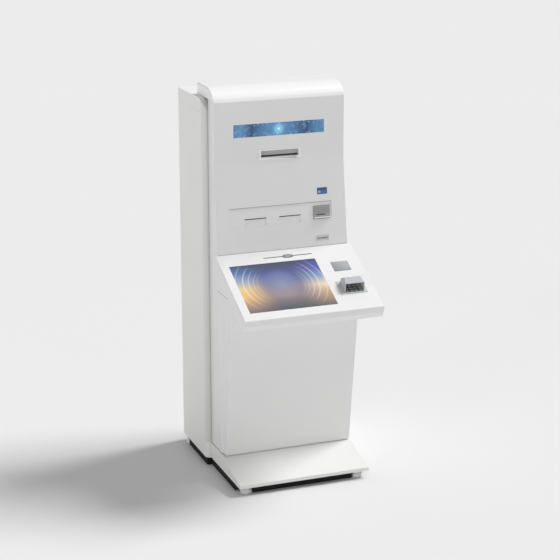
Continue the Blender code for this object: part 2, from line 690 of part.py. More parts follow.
def card_unit():
    """Card reader mouth with a projecting lower lip, the reader behind it and its shutter."""
    left, right, bottom, top = CARD_BEZEL
    slot_left, slot_right, slot_height = CARD_SLOT
    bezel = leaning_block(
        "card_reader_bezel", left + GAP, right - GAP, bottom + GAP, top - GAP, 0.005, -0.013, MID_GREY
    )
    lip = leaning_block("card_lip", left + 0.002, right - 0.002, bottom + 0.001, 1.091, 0.011, 0.0)
    join(bezel, lip)
    low, high = slot_height - SLOT_GAP / 2, slot_height + SLOT_GAP / 2
    cut(bezel, leaning_block("card_mouth", slot_left, slot_right, low, high, SLOT_TOOL, -SLOT_TOOL))
    body = leaning_block("card_reader", 0.136, 0.217, 1.066, 1.140, -0.0175, -0.170, DARK)
    cut(body, leaning_block("card_path", slot_left, slot_right, low, high, 0.0, -0.110))
    leaning_block("card_shutter", 0.145, 0.207, 1.095, 1.107, -0.0142, -0.0162, STEEL)


def token_unit():
    left, right, bottom, top = TOKEN_BEZEL
    bezel = leaning_block(
        "token_slot_bezel", left + GAP, right - GAP, bottom + GAP, top - GAP, 0.001, -0.012, LIGHT_GREY
    )
    cut(bezel, leaning_block("token_recess", *TOKEN_RECESS, SLOT_TOOL, -0.003))
    left, right, level = TOKEN_SLOT
    mouth = leaning_block("token_mouth", left, right, level, level + SLOT_GAP, SLOT_TOOL, -SLOT_TOOL)
    cut(bezel, mouth)


def console_shells():
    """The folded lid, and the tray below it that carries the display."""
    rear_top = console_point(0.0005, 0)
    lid_rear = console_point(0.0005, -LID_DEPTH)
    tray_front = (CONSOLE_LID_EDGE[0], CONSOLE_LID_EDGE[1] - GAP)
    tray_rear = console_point(0.0005, -LID_DEPTH - GAP)
    under_rear = console_point(0.0005, -CONSOLE_DEPTH)
    lid_outline = hinge_local([lid_rear, CONSOLE_LID_EDGE, CONSOLE_FRONT, rear_top])
    tray_outline = hinge_local([under_rear, CONSOLE_UNDER_EDGE, tray_front, tray_rear])
    middle = -FRONT_HINGE[0]
    lid = sheet_box("console_lid", lid_outline, CONSOLE_HALF_WIDTH, (0, 3), DOOR, middle)
    sheet_box("console_tray", tray_outline, CONSOLE_HALF_WIDTH, (2, 3), DOOR, middle)
    windows = {"screen": SCREEN, "pad": READER_PAD, "keypad": KEYPAD_OPENING}
    for name, (left, right, rear, front) in windows.items():
        cut(lid, console_block(name + "_window", left, right, rear, front, -0.02, 0.02))
    left, right, middle_line = LIGHT_BAR
    cut(
        lid,
        console_block(
            "light_bar_window", left, right, middle_line - 0.002, middle_line + 0.002, -0.02, 0.02
        ),
    )
    cut(lid, light_bar_lens("light_bar_round", 0.0))


def console_block(name, left, right, rear, front, low, high, look=WHITE, bevel=0.0):
    """A box on the console: rear and front are distances down its slope, low and high from its face."""
    return block(name, (left, -front, low), (right, -rear, high), CONSOLE, look, bevel)


def light_bar_lens(name, margin):
    """An oval button in the middle of the light bar."""
    left, right, middle_line = LIGHT_BAR
    centre = ((left + right) / 2, -middle_line, 0)
    lens = cylinder(name, 0.5, 0.012, centre, "Z", CONSOLE, sides=20)
    for vert in lens.data.vertices:
        vert.co.x *= LIGHT_BUTTON[0] - 2 * margin
        vert.co.y *= LIGHT_BUTTON[1] - 2 * margin
    return lens


def light_bar():
    left, right, middle_line = LIGHT_BAR
    bar = console_block(
        "light_bar",
        left + GAP,
        right - GAP,
        middle_line - 0.002 + GAP,
        middle_line + 0.002 - GAP,
        -0.005,
        0.0008,
        MID_GREY,
    )
    join(bar, light_bar_lens("light_bar_button", GAP))


def display():
    left, right, rear, front = SCREEN
    console_block(
        "screen_glass", left + GAP, right - GAP, rear + GAP, front - GAP, -0.004, -0.0003, GLASS
    )
    edge = 0.009
    console_block(
        "display_panel", left - edge, right + edge, rear - edge, front + edge, -0.022, -0.0043, DARK
    )
    left, right, rear, front = READER_PAD
    console_block(
        "contactless_reader", left + GAP, right - GAP, rear + GAP, front - GAP, -0.016, 0.001, MID_GREY
    )


def keypad():
    """The keypad housing with one well, its sixteen keys, and the privacy hood over them."""
    left, right, rear, front = KEYPAD
    base = console_block("keypad_base", left, right, rear, front, GAP, 0.003, LIGHT_GREY)
    left, right, rear, front = KEYPAD_OPENING
    fit = 0.0005
    housing = console_block(
        "keypad_housing", left + fit, right - fit, rear + fit, front - fit, -0.022, 0.001
    )
    join(base, housing)
    middle_x = (HOOD[0] + HOOD[1]) / 2 - 0.001
    half_wide, half_deep = KEY_WELL_HALF
    well_rear, well_front = KEY_ROWS_CENTRE - half_deep, KEY_ROWS_CENTRE + half_deep
    well = (middle_x - half_wide, middle_x + half_wide, well_rear, well_front)
    cut(base, console_block("key_well", *well, -0.008, 0.02))
    wide, deep = KEY_SIZE
    for row in range(4):
        for column in range(4):
            x = middle_x + KEY_PITCH[0] * (column - 1.5)
            s = KEY_ROWS_CENTRE + KEY_PITCH[1] * (row - 1.5)
            name = "key_row" + str(row + 1) + "_column" + str(column + 1)
            console_block(
                name, x - wide / 2, x + wide / 2, s - deep / 2, s + deep / 2, -0.005, 0.0065, STEEL, 0.001
            )


def hooded_box(name, sides, front, foot, top, chamfer):
    """A box on the console with an upright front and chamfered rear and side edges on its top."""
    left, right, rear = sides
    box = console_block(name, left, right, rear, front, foot, top, MID_GREY)
    bm = bmesh.new()
    bm.from_mesh(box.data)
    for vert in bm.verts:
        if vert.co.z > 0 and vert.co.y < 0:
            vert.co.y += (top - foot) * tan(CONSOLE_SLOPE)
    upper = [
        edge
        for edge in bm.edges
        if all(vert.co.z > 0 for vert in edge.verts) and not all(vert.co.y < 0 for vert in edge.verts)
    ]
    bmesh.ops.bevel(
        bm, geom=upper, offset=chamfer, segments=1, profile=0.5, affect="EDGES", material=-1
    )
    bm.to_mesh(box.data)
    bm.free()
    return box


def keypad_hood():
    """A privacy hood open towards the user, thin-walled, over the keys."""
    left, right, rear, front = HOOD
    foot, wall = 0.003 + GAP, 0.0025
    top = 0.003 + HOOD_HEIGHT
    hood = hooded_box("keypad_hood", (left, right, rear), front, foot, top, 0.010)
    inside = (left + wall, right - wall, rear + wall)
    cut(hood, hooded_box("hood_inside", inside, front + 0.02, foot - 0.01, top - wall, 0.009))


def lower_cover():
    """The deep front cover below the console, open behind."""
    clear = GAP
    rear_foot = (COVER_REAR - clear, SHELL_BOTTOM)
    rear_top = (COVER_REAR - clear, COVER_TOP - clear)
    outline = [rear_foot, (COVER_FOOT, SHELL_BOTTOM), (SUPPORT_FRONT, COVER_TOP - clear), rear_top]
    sheet_box("lower_cover", hinge_local(outline), COVER_HALF_WIDTH, (3,), DOOR, -FRONT_HINGE[0])


clear_scene()
PARTS = new_collection("atm_machine")
CUTTERS = new_collection("cutters", hidden=True)
MACHINE = empty("atm_machine", (0, DEPTH_SHIFT, 0))
DOOR = empty("front_assembly_hinge", (*FRONT_HINGE, 0), parent=MACHINE)
console_place = (-FRONT_HINGE[0], CONSOLE_REAR[0] - FRONT_HINGE[1], CONSOLE_REAR[1])
CONSOLE = empty("console_plane", console_place, CONSOLE_SLOPE, DOOR)
LEAN = empty("leaning_fascia_plane", console_place, -FASCIA_LEAN, DOOR)

side_panel("left")
side_panel("right")
roof_panel()
cabinet_floor()
base_frame()
feet()
plinth_cover()
rear_frame()
REAR = rear_door()
computer()
power_supply()

left_cheek = cheek("left")
return_flange(left_cheek, "left")
hinge_tabs(left_cheek)
right_cheek = cheek("right")
return_flange(right_cheek, "right")
support_rail()
front_hinge_rod()
fascia_panel()
lower_cover()
console_shells()

banner()
receipt_unit()
slot_panel()
document_printer()
card_unit()
token_unit()
light_bar()
display()
keypad()
keypad_hood()

lock_place = (SHELL_HALF_WIDTH - FRONT_HINGE[0], FRONT_LOCK[0] - FRONT_HINGE[1], FRONT_LOCK[1])
cut(right_cheek, cylinder("front_lock_bore", LOCK_BORE, 0.03, lock_place, "X", DOOR))
cam_lock("front_lock", lock_place, DOOR, -pi / 2, 0.0015)
rear_lock_place = (REAR_LOCK[0] - REAR_HINGE[0], CABINET_DEPTH - REAR_HINGE[1], REAR_LOCK[1])
cam_lock("rear_lock", rear_lock_place, REAR, 0, -0.0003)
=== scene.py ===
# %% [markdown]
# # A bank's self-service terminal
#
# This lesson dresses the solid model of a free-standing bank terminal: a white sheet-metal cabinet with a
# hinged front shell, a sloping console with a touch screen and a hooded keypad, and small mouths for cards,
# tokens, receipts and documents. The solid model says where everything is. The cells below add soft edges,
# fittings and finishes. First the model is loaded.

# %% Load the solid model
import json
import math

import bmesh
import bpy
from mathutils import Matrix, Vector

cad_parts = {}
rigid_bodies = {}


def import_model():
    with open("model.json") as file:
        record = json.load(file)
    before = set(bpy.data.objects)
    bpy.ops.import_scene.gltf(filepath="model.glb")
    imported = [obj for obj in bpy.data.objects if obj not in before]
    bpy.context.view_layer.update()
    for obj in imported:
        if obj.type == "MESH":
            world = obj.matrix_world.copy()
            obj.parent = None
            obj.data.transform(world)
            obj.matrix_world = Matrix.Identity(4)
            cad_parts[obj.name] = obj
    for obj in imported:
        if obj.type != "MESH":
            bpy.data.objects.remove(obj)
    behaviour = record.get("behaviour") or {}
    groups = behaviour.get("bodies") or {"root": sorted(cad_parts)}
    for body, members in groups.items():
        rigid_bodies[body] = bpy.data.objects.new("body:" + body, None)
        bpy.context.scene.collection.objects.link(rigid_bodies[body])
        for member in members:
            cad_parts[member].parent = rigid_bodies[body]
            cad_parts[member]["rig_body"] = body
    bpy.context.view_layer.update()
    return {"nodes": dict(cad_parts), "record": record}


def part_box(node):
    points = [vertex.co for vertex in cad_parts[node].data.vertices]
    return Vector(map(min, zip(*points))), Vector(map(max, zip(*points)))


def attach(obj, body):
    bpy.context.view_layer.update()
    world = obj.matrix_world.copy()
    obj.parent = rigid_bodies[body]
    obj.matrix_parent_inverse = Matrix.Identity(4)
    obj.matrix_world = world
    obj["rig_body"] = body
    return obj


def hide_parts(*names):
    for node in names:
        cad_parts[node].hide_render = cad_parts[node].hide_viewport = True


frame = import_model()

scene = bpy.context.scene

# %% [markdown]
# ## Camera
#
# A terminal is best seen from a standing person's height, a little to its left, with a long lens so that its
# upright edges stay nearly parallel. The camera comes first, because it decides how fine each detail must be.

# %% Camera
camera = bpy.data.objects.new("camera", bpy.data.cameras.new("camera"))
camera.data.lens = 107.1
camera.location = (-2.390, -6.3085, 2.790)
camera.rotation_euler = (math.radians(73.76), 0, math.radians(-20.74))
scene.collection.objects.link(camera)
scene.camera = camera
print("camera looks from", tuple(round(value, 2) for value in camera.location))

# %% [markdown]
# ## Light
#
# A pale studio lights the terminal from everywhere, which is the world's even glow. One broad lamp stands
# high on the right, so the tops of the console and the foot are brightest and a soft shadow falls to the
# left. A weak fill from the front left, just over the horizon, lifts the upright walls and hardly touches the
# floor. Both are sun lamps, which light the whole floor evenly, and a wider angle makes a softer shadow.

# %% Light
world = bpy.data.worlds.new("studio")
world.use_nodes = True
glow = world.node_tree.nodes["Background"]
glow.inputs["Color"].default_value = (1.0, 1.0, 1.0, 1.0)
glow.inputs["Strength"].default_value = 0.42
scene.world = world
scene.view_settings.view_transform = "Standard"


def studio_lamp(name, towards, strength, angle):
    """A lamp so far away that it lights the whole floor evenly; its angle sets how soft its shadow is."""
    lamp = bpy.data.objects.new(name, bpy.data.lights.new(name, "SUN"))
    lamp.data.energy = strength
    lamp.data.angle = math.radians(angle)
    lamp.rotation_euler = Vector(towards).to_track_quat("Z", "Y").to_euler()
    scene.collection.objects.link(lamp)
    print(name, "is", round(math.degrees(Vector(towards).angle((0, 0, 1)))), "degrees from overhead")


studio_lamp("broad_lamp", (0.62, 0.01, 0.78), 2.55, 24)
studio_lamp("low_fill", (-0.86, -0.50, 0.07), 0.54, 7)

# %% [markdown]
# ## Writing finishes as sums
#
# Each finish is a small tree of nodes. The Wire class wraps one output, so that 1 - mask * 0.5 adds its own
# Math nodes, and the Finish class adds any other node through one method. Patterns are read in Object
# coordinates, which are metres here, so a grain of 1 mm is the same on a large panel and on a small key.

# %% Wires and finishes
class Wire:
    """One output in a finish, with arithmetic that adds Math nodes."""

    def __init__(self, finish, socket):
        self.finish = finish
        self.socket = socket

    def sum_of(self, operation, first, second=0.0):
        return self.finish.node("ShaderNodeMath", {"operation": operation}, {0: first, 1: second})

    def __add__(self, other):
        return self.sum_of("ADD", self, other)

    def __radd__(self, other):
        return self.sum_of("ADD", other, self)

    def __sub__(self, other):
        return self.sum_of("SUBTRACT", self, other)

    def __rsub__(self, other):
        return self.sum_of("SUBTRACT", other, self)

    def __mul__(self, other):
        return self.sum_of("MULTIPLY", self, other)

    def __rmul__(self, other):
        return self.sum_of("MULTIPLY", other, self)

    def __truediv__(self, other):
        return self.sum_of("DIVIDE", self, other)

    def __pow__(self, other):
        return self.sum_of("POWER", self, other)

    def __abs__(self):
        return self.sum_of("ABSOLUTE", self)


def set_stops(ramp, stops):
    """Gives a colour ramp exactly these stops."""
    while len(ramp.elements) > 1:
        ramp.elements.remove(ramp.elements[-1])
    for number, (position, colour) in enumerate(stops):
        stop = ramp.elements[0] if number == 0 else ramp.elements.new(position)
        stop.position = position
        stop.color = (*colour, 1.0)


class Finish:
    """One material and the method that adds its nodes."""

    def __init__(self, name):
        self.material = bpy.data.materials.new(name)
        self.material.use_nodes = True
        self.tree = self.material.node_tree
        self.tree.nodes.clear()
        self.place = self.node("ShaderNodeTexCoord", output="Object")

    def node(self, kind, settings=None, inputs=None, output=0):
        node = self.tree.nodes.new(kind)
        for name, value in (settings or {}).items():
            if name == "stops":
                set_stops(node.color_ramp, value)
            else:
                setattr(node, name, value)
        for name, value in (inputs or {}).items():
            if isinstance(value, Wire):
                self.tree.links.new(value.socket, node.inputs[name])
            else:
                node.inputs[name].default_value = value
        return None if output is None else Wire(self, node.outputs[output])

    def along(self):
        """The three coordinates of a place, each as a wire."""
        return [
            self.node("ShaderNodeSeparateXYZ", inputs={"Vector": self.place}, output=axis)
            for axis in ("X", "Y", "Z")
        ]

    def noise(self, scale, detail=2.0, place=None):
        inputs = {"Vector": place or self.place, "Scale": scale, "Detail": detail}
        return self.node("ShaderNodeTexNoise", inputs=inputs, output="Fac")

    def stretched(self, factors):
        """Places scaled along each axis, which draws noise out into brush marks."""
        settings = {"operation": "MULTIPLY"}
        return self.node("ShaderNodeVectorMath", settings, {0: self.place, 1: factors})

    def fade(self, value, low, high):
        """0 below low, 1 above high, and smooth between."""
        inputs = {"Value": value, "From Min": low, "From Max": high}
        return self.node("ShaderNodeMapRange", {"interpolation_type": "SMOOTHSTEP"}, inputs)

    def mix(self, mask, first, second):
        first, second = [
            colour if isinstance(colour, Wire) else (*colour, 1.0) for colour in (first, second)
        ]
        settings = {"data_type": "RGBA", "clamp_factor": True}
        return self.node("ShaderNodeMix", settings, {0: mask, 6: first, 7: second}, output=2)

    def bump(self, height, strength, distance):
        inputs = {"Strength": strength, "Distance": distance, "Height": height}
        return self.node("ShaderNodeBump", inputs=inputs)

    def surface(self, inputs):
        shader = self.node("ShaderNodeBsdfPrincipled", inputs=inputs)
        self.node("ShaderNodeOutputMaterial", inputs={"Surface": shader}, output=None)
        return self.material


print("finishes are ready to be written")

# %% [markdown]
# ## Floor
#
# The studio floor is one large pale sheet that runs past the edge of the view, so no horizon shows. It has no
# gloss, and only a very faint unevenness, so that the shadow is the only thing drawn on it.

# %% Floor
FLOOR_SIZE = 300.0


def studio_floor():
    finish = Finish("studio_floor")
    cloud = finish.noise(0.6, 1.0)
    colour = finish.mix(cloud, (0.780, 0.780, 0.780), (0.788, 0.788, 0.788))
    finish.surface({"Base Color": colour, "Roughness": 1.0, "Specular IOR Level": 0.0})
    bm = bmesh.new()
    bmesh.ops.create_grid(bm, x_segments=4, y_segments=4, size=FLOOR_SIZE)
    mesh = bpy.data.meshes.new("studio_floor")
    bm.to_mesh(mesh)
    bm.free()
    mesh.materials.append(finish.material)
    floor = bpy.data.objects.new("studio_floor", mesh)
    scene.collection.objects.link(floor)


studio_floor()
print("floor half width:", FLOOR_SIZE, "m")

# %% [markdown]
# ## White powder coat
#
# The cabinet and the front shell are steel sheets sprayed with white powder and baked. The film has a fine
# orange-peel grain about a millimetre across, drifts a little in tone where it is thicker, and is dulled by
# tiny specks. The cabinet's white is a shade warmer than the front's. Noise at two sizes gives all of that.
# Painted shade greys the groove between the two, while the tops are painted paler as painted light from
# above.

# %% White powder coat
ABOVE_PLINTH = (0.1035, 0.1055)
CABINET_GROOVE, FRONT_GROOVE = (0.108, 0.077), (0.030, 0.078)
CABINET_CROWN, FRONT_CROWN = (1.5950, 1.6008), (1.5930, 1.6150)
SPECK_GREY, GROOVE_SHADE_GREY, TOP_LIGHT_WHITE = (0.45, 0.45, 0.44), (0.670, 0.670, 0.660), (0.890, 0.890, 0.888)


def powder_coat(name, pale, deep, roughness, groove, crown):
    """White paint; groove is a span of depths that gets painted shade, crown a span of heights that gets
    painted light.
    """
    finish = Finish(name)
    y, z = finish.along()[1:]
    film = finish.noise(3.0, 2.0)
    speck = finish.noise(420.0, 1.0)
    peel = finish.noise(1100.0, 1.5)
    tone = finish.mix(finish.fade(film, 0.35, 0.65), deep, pale)
    tone = finish.mix(finish.fade(speck, 0.66, 0.80) * 0.06, tone, SPECK_GREY)
    # Painted light: the tops are painted paler, standing in for the lamp above.
    painted_top_light = finish.fade(z, *crown)
    # Painted shade: the groove between cabinet and front is painted greyer where shade falls.
    painted_groove_shade = finish.fade(y, *groove) * finish.fade(z, *ABOVE_PLINTH) * (1.0 - painted_top_light)
    tone = finish.mix(painted_groove_shade * (0.85 + film * 0.15), tone, GROOVE_SHADE_GREY)
    tone = finish.mix(painted_top_light, tone, TOP_LIGHT_WHITE)
    return finish.surface(
        {
            "Base Color": tone,
            "Roughness": roughness + (speck - 0.5) * 0.10,
            "Normal": finish.bump(peel, 0.10, 0.0002),
            "Specular IOR Level": 0.45,
        }
    )


finish_of_slot = {
    "cabinet_paint": powder_coat(
        "warm_white_powder_coat",
        (0.816, 0.816, 0.803),
        (0.802, 0.802, 0.789),
        0.46,
        CABINET_GROOVE,
        CABINET_CROWN,
    ),
    "front_paint": powder_coat(
        "satin_white_powder_coat",
        (0.818, 0.818, 0.815),
        (0.808, 0.808, 0.805),
        0.40,
        FRONT_GROOVE,
        FRONT_CROWN,
    ),
}
print("paints:", sorted(finish_of_slot))

# %% [markdown]
# ## Bare metals
#
# The chassis inside is zinc-coated steel, whose crystals show as a mosaic of grey flakes. Rods, locks and the
# card shutter are bright steel with fine lengthwise brushing, and the keys are brushed across. A Voronoi
# pattern makes flakes, and noise stretched along one axis makes brush marks.

# %% Bare metals
def zinc_coat():
    finish = Finish("zinc_coated_steel")
    flakes = finish.node(
        "ShaderNodeTexVoronoi", inputs={"Vector": finish.place, "Scale": 90.0}, output="Color"
    )
    flake = finish.node("ShaderNodeRGBToBW", inputs={"Color": flakes})
    haze = finish.noise(14.0, 3.0)
    tone = finish.mix(flake * 0.6 + haze * 0.4, (0.44, 0.45, 0.46), (0.64, 0.65, 0.66))
    return finish.surface(
        {
            "Base Color": tone,
            "Metallic": 0.9,
            "Roughness": 0.34 + flake * 0.14,
            "Normal": finish.bump(flake, 0.08, 0.0003),
        }
    )


def brushed_steel(name, stretch, pale, dark, roughness):
    finish = Finish(name)
    marks = finish.noise(900.0, 2.0, finish.stretched(stretch))
    haze = finish.noise(40.0, 2.0)
    tone = finish.mix(marks * 0.7 + haze * 0.3, dark, pale)
    return finish.surface(
        {
            "Base Color": tone,
            "Metallic": 0.95,
            "Roughness": roughness + marks * 0.12,
            "Normal": finish.bump(marks, 0.12, 0.0001),
        }
    )


finish_of_slot["zinc_steel"] = zinc_coat()
finish_of_slot["bright_steel"] = brushed_steel(
    "brushed_bright_steel", (1.0, 1.0, 0.04), (0.72, 0.72, 0.72), (0.50, 0.50, 0.51), 0.22
)
finish_of_slot["key_steel"] = brushed_steel(
    "brushed_key_steel", (0.05, 1.0, 1.0), (0.66, 0.67, 0.68), (0.46, 0.47, 0.48), 0.28
)
print("metals added, finishes so far:", len(finish_of_slot))

# %% [markdown]
# ## Moulded plastics, rubber and paper
#
# Bezels, the keypad hood and the module cases are injection-moulded, with the fine spark-eroded texture that
# a mould leaves. The feet and the printer roller are duller. Thermal paper is soft and slightly warm, with
# faint fibres. One recipe with different sizes and strengths makes them all.

# %% Moulded plastics, rubber and paper
def moulded(name, pale, dark, roughness, grain=700.0, depth=0.16):
    finish = Finish(name)
    pits = finish.noise(grain, 2.0)
    flow = finish.noise(22.0, 2.0)
    tone = finish.mix(flow * 0.6 + pits * 0.4, dark, pale)
    return finish.surface(
        {
            "Base Color": tone,
            "Roughness": roughness + (pits - 0.5) * 0.14,
            "Normal": finish.bump(pits, depth, 0.0002),
            "Specular IOR Level": 0.4,
        }
    )


finish_of_slot["light_grey_plastic"] = moulded(
    "light_grey_plastic", (0.600, 0.605, 0.610), (0.550, 0.555, 0.560), 0.50
)
finish_of_slot["mid_grey_plastic"] = moulded(
    "mid_grey_plastic", (0.345, 0.352, 0.362), (0.295, 0.302, 0.312), 0.44
)
finish_of_slot["dark_plastic"] = moulded("dark_plastic", (0.050, 0.051, 0.054), (0.030, 0.031, 0.034), 0.55)
finish_of_slot["platen_rubber"] = moulded(
    "roller_rubber", (0.045, 0.045, 0.046), (0.024, 0.024, 0.025), 0.75, 1200.0, 0.25
)
finish_of_slot["paper"] = moulded("thermal_paper", (0.880, 0.872, 0.845), (0.840, 0.830, 0.800), 0.82, 500.0)
finish_of_slot["foot_plastic"] = moulded(
    "foot_plastic", (0.800, 0.803, 0.805), (0.740, 0.743, 0.745), 0.50
)
print("finishes so far:", len(finish_of_slot))

# %% [markdown]
# ## The lit banner
#
# Over the receipt mouth is a strip of lit acrylic with a printed sky-blue picture: darker vertical bands, a
# small glowing globe in the middle and scattered specks of light. It is drawn from distances and noise, and
# glows a little, because there are lamps behind it.

# %% The lit banner
banner_low, banner_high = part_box("banner_panel")
BANNER_MIDDLE = (banner_low + banner_high) / 2
BANNER_WIDTH = banner_high.x - banner_low.x
GLOBE_RADIUS = 0.0150


def lit_banner():
    finish = Finish("lit_banner")
    x, y, z = finish.along()
    across = (x - BANNER_MIDDLE.x) / BANNER_WIDTH + 0.5
    up = z - BANNER_MIDDLE.z
    stops = [
        (0.00, (0.068, 0.185, 0.345)),
        (0.08, (0.095, 0.230, 0.400)),
        (0.20, (0.024, 0.060, 0.158)),
        (0.32, (0.062, 0.170, 0.335)),
        (0.49, (0.105, 0.250, 0.430)),
        (0.66, (0.058, 0.160, 0.320)),
        (0.80, (0.020, 0.055, 0.150)),
        (0.92, (0.075, 0.195, 0.365)),
        (1.00, (0.058, 0.160, 0.315)),
    ]
    colour = finish.node("ShaderNodeValToRGB", {"stops": stops}, {"Fac": across}, output="Color")
    cloud = finish.noise(60.0, 4.0)
    colour = finish.mix(finish.fade(cloud, 0.50, 0.75) * 0.35, colour, (0.220, 0.480, 0.760))
    from_globe = ((x - BANNER_MIDDLE.x + 0.002) ** 2.0 + up ** 2.0) ** 0.5
    halo = 1.0 - finish.fade(from_globe, GLOBE_RADIUS * 0.7, GLOBE_RADIUS * 2.2)
    colour = finish.mix(halo * 0.55, colour, (0.180, 0.520, 0.800))
    ring = 1.0 - finish.fade(abs(from_globe - GLOBE_RADIUS), 0.0003, 0.0016)
    colour = finish.mix(ring * 0.6, colour, (0.500, 0.860, 1.000))
    heart = 1.0 - finish.fade(from_globe, 0.0, GLOBE_RADIUS * 0.85)
    colour = finish.mix(heart * (0.35 + cloud * 0.9), colour, (0.620, 0.930, 1.000))
    star = finish.node(
        "ShaderNodeTexVoronoi", inputs={"Vector": finish.place, "Scale": 85.0}, output="Distance"
    )
    edge_bias = finish.fade(abs(up), 0.006, 0.026)
    spark = (1.0 - finish.fade(star, 0.05, 0.22)) * (0.05 + edge_bias * 0.95)
    colour = finish.mix(spark, colour, (0.760, 0.920, 1.000))
    return finish.surface(
        {
            "Base Color": colour,
            "Roughness": 0.18 + cloud * 0.05,
            "Emission Color": colour,
            "Emission Strength": 0.35,
        }
    )


finish_of_slot["lit_banner"] = lit_banner()
print("banner picture spans", round(BANNER_WIDTH * 1000), "mm")

# %% [markdown]
# ## The touch screen's picture
#
# The display shows an idle picture: a soft disc over a dusk sky, with golden light low on both sides and thin
# bright arcs spreading left and right. The screen lies on the sloping console, so its second direction is
# measured down the slope. The glass over it is smooth, so only the finest noise touches its roughness.

# %% The touch screen's picture
screen_low, screen_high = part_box("screen_glass")
CONSOLE_RISE, CONSOLE_RUN = 0.176, 0.363
SLOPE = math.atan2(CONSOLE_RISE, CONSOLE_RUN)
CONSOLE_TOP = Vector((0.0, -0.0395, 0.969))
OFF_SLOPE = Vector((0.0, -math.sin(SLOPE), math.cos(SLOPE)))
SCREEN_TOP, SCREEN_BOTTOM = 0.074, 0.360
DISC_ACROSS, DISC_DOWN, DISC_RADIUS, DISC_EDGE = 0.184, 0.134, 0.058, 0.096
ARCS = ((0.100, 0.25), (0.115, 0.35), (0.1365, 0.70), (0.160, 1.00), (0.190, 0.65))


def down_the_slope(finish):
    """How far a place lies across the console, and down its slope from the top edge."""
    x, y, z = finish.along()
    return x, (CONSOLE_TOP.y - y) * math.cos(SLOPE) + (CONSOLE_TOP.z - z) * math.sin(SLOPE)


def screen_picture():
    finish = Finish("touch_screen")
    x, down = down_the_slope(finish)
    across = (x - screen_low.x) / (screen_high.x - screen_low.x)
    depth = (down - SCREEN_TOP) / (SCREEN_BOTTOM - SCREEN_TOP)
    left_sky = [
        (0.00, (0.062, 0.085, 0.190)),
        (0.18, (0.110, 0.190, 0.400)),
        (0.34, (0.330, 0.400, 0.480)),
        (0.50, (0.780, 0.560, 0.300)),
        (0.66, (0.800, 0.500, 0.170)),
        (0.84, (0.440, 0.290, 0.210)),
        (1.00, (0.185, 0.150, 0.155)),
    ]
    middle_sky = [
        (0.00, (0.062, 0.068, 0.100)),
        (0.22, (0.085, 0.100, 0.250)),
        (0.50, (0.150, 0.165, 0.260)),
        (0.72, (0.270, 0.225, 0.240)),
        (0.88, (0.150, 0.150, 0.165)),
        (1.00, (0.095, 0.105, 0.118)),
    ]
    right_sky = [
        (0.00, (0.072, 0.074, 0.200)),
        (0.20, (0.110, 0.130, 0.420)),
        (0.38, (0.250, 0.350, 0.520)),
        (0.55, (0.800, 0.640, 0.460)),
        (0.70, (0.560, 0.390, 0.270)),
        (1.00, (0.170, 0.140, 0.130)),
    ]
    skies = [
        finish.node("ShaderNodeValToRGB", {"stops": stops}, {"Fac": depth}, output="Color")
        for stops in (left_sky, middle_sky, right_sky)
    ]
    colour = finish.mix(finish.fade(across, 0.02, 0.42), skies[0], skies[1])
    colour = finish.mix(finish.fade(across, 0.62, 0.98), colour, skies[2])
    offset_x = (x - screen_low.x) - DISC_ACROSS
    offset_down = (down - SCREEN_TOP) - DISC_DOWN
    from_disc = (offset_x ** 2.0 + offset_down ** 2.0) ** 0.5
    disc = 1.0 - finish.fade(from_disc, DISC_RADIUS, DISC_EDGE)
    disc_colour = finish.mix(finish.fade(depth, 0.25, 0.75), (0.165, 0.215, 0.430), (0.380, 0.290, 0.300))
    inner = 1.0 - finish.fade(from_disc, 0.0, 0.07)
    disc_colour = finish.mix(inner * 0.5, disc_colour, (0.360, 0.430, 0.530))
    colour = finish.mix(disc * 0.66, colour, disc_colour)
    sideways = finish.fade(abs(offset_x) / from_disc, 0.62, 0.97)
    glow = 0.0
    for radius, strength in ARCS:
        line = 1.0 - finish.fade(abs(from_disc - radius), 0.0002, 0.0016)
        haze = 1.0 - finish.fade(abs(from_disc - radius), 0.0, 0.0080)
        glow = (line * 0.62 + haze * 0.10) * strength + glow
    colour = finish.mix(glow * sideways, colour, (0.900, 0.900, 0.960))
    smear = finish.noise(18.0, 3.0)
    return finish.surface(
        {
            "Base Color": finish.mix(0.55, colour, (0.0, 0.0, 0.0)),
            "Roughness": 0.10 + smear * 0.05,
            "Emission Color": colour,
            "Emission Strength": 0.62,
            "IOR": 1.5,
        }
    )


finish_of_slot["screen"] = screen_picture()
print("screen:", round((screen_high.x - screen_low.x) * 1000), "mm wide")

# %% [markdown]
# ## Rounding the solid model's edges
#
# Folded sheet metal has no knife edges: each bend has a radius, and each cut edge is broken by the paint. The
# solid model's faces come as loose triangles, so a copy is merged, its flat faces are joined up, and the
# edges that turn sharply are bevelled. The copy then stands for the solid. The Weighted Normal modifier keeps
# large flat faces flat while the narrow bevels shade as a curve.

# %% Rounding the solid model's edges
slot_of_node = {row["node"]: row["material_slot"] for row in frame["record"]["subparts"]}
SHARP = math.radians(32)


def merged_copy(node):
    """The solid's shape as a bmesh with joined points and whole flat faces."""
    bm = bmesh.new()
    bm.from_mesh(frame["nodes"][node].data)
    bmesh.ops.remove_doubles(bm, verts=bm.verts, dist=0.00002)
    bmesh.ops.dissolve_limit(bm, angle_limit=math.radians(0.5), verts=bm.verts, edges=bm.edges)
    return bm


def bevel(bm, edges, radius, segments, clamp=True):
    """Rounds some edges; clamping keeps two rounds from running into each other."""
    bmesh.ops.bevel(
        bm,
        geom=edges,
        offset=radius,
        offset_type="OFFSET",
        segments=segments,
        profile=0.5,
        affect="EDGES",
        clamp_overlap=clamp,
        material=-1,
    )


def round_edges(bm, radius, segments=2, where=None):
    """Bevels the sharp edges, or those among them that a test picks."""
    sharp = [
        edge
        for edge in bm.edges
        if edge.is_manifold and edge.calc_face_angle(0.0) > SHARP and (where is None or where(edge))
    ]
    bevel(bm, sharp, radius, segments)
    return bm


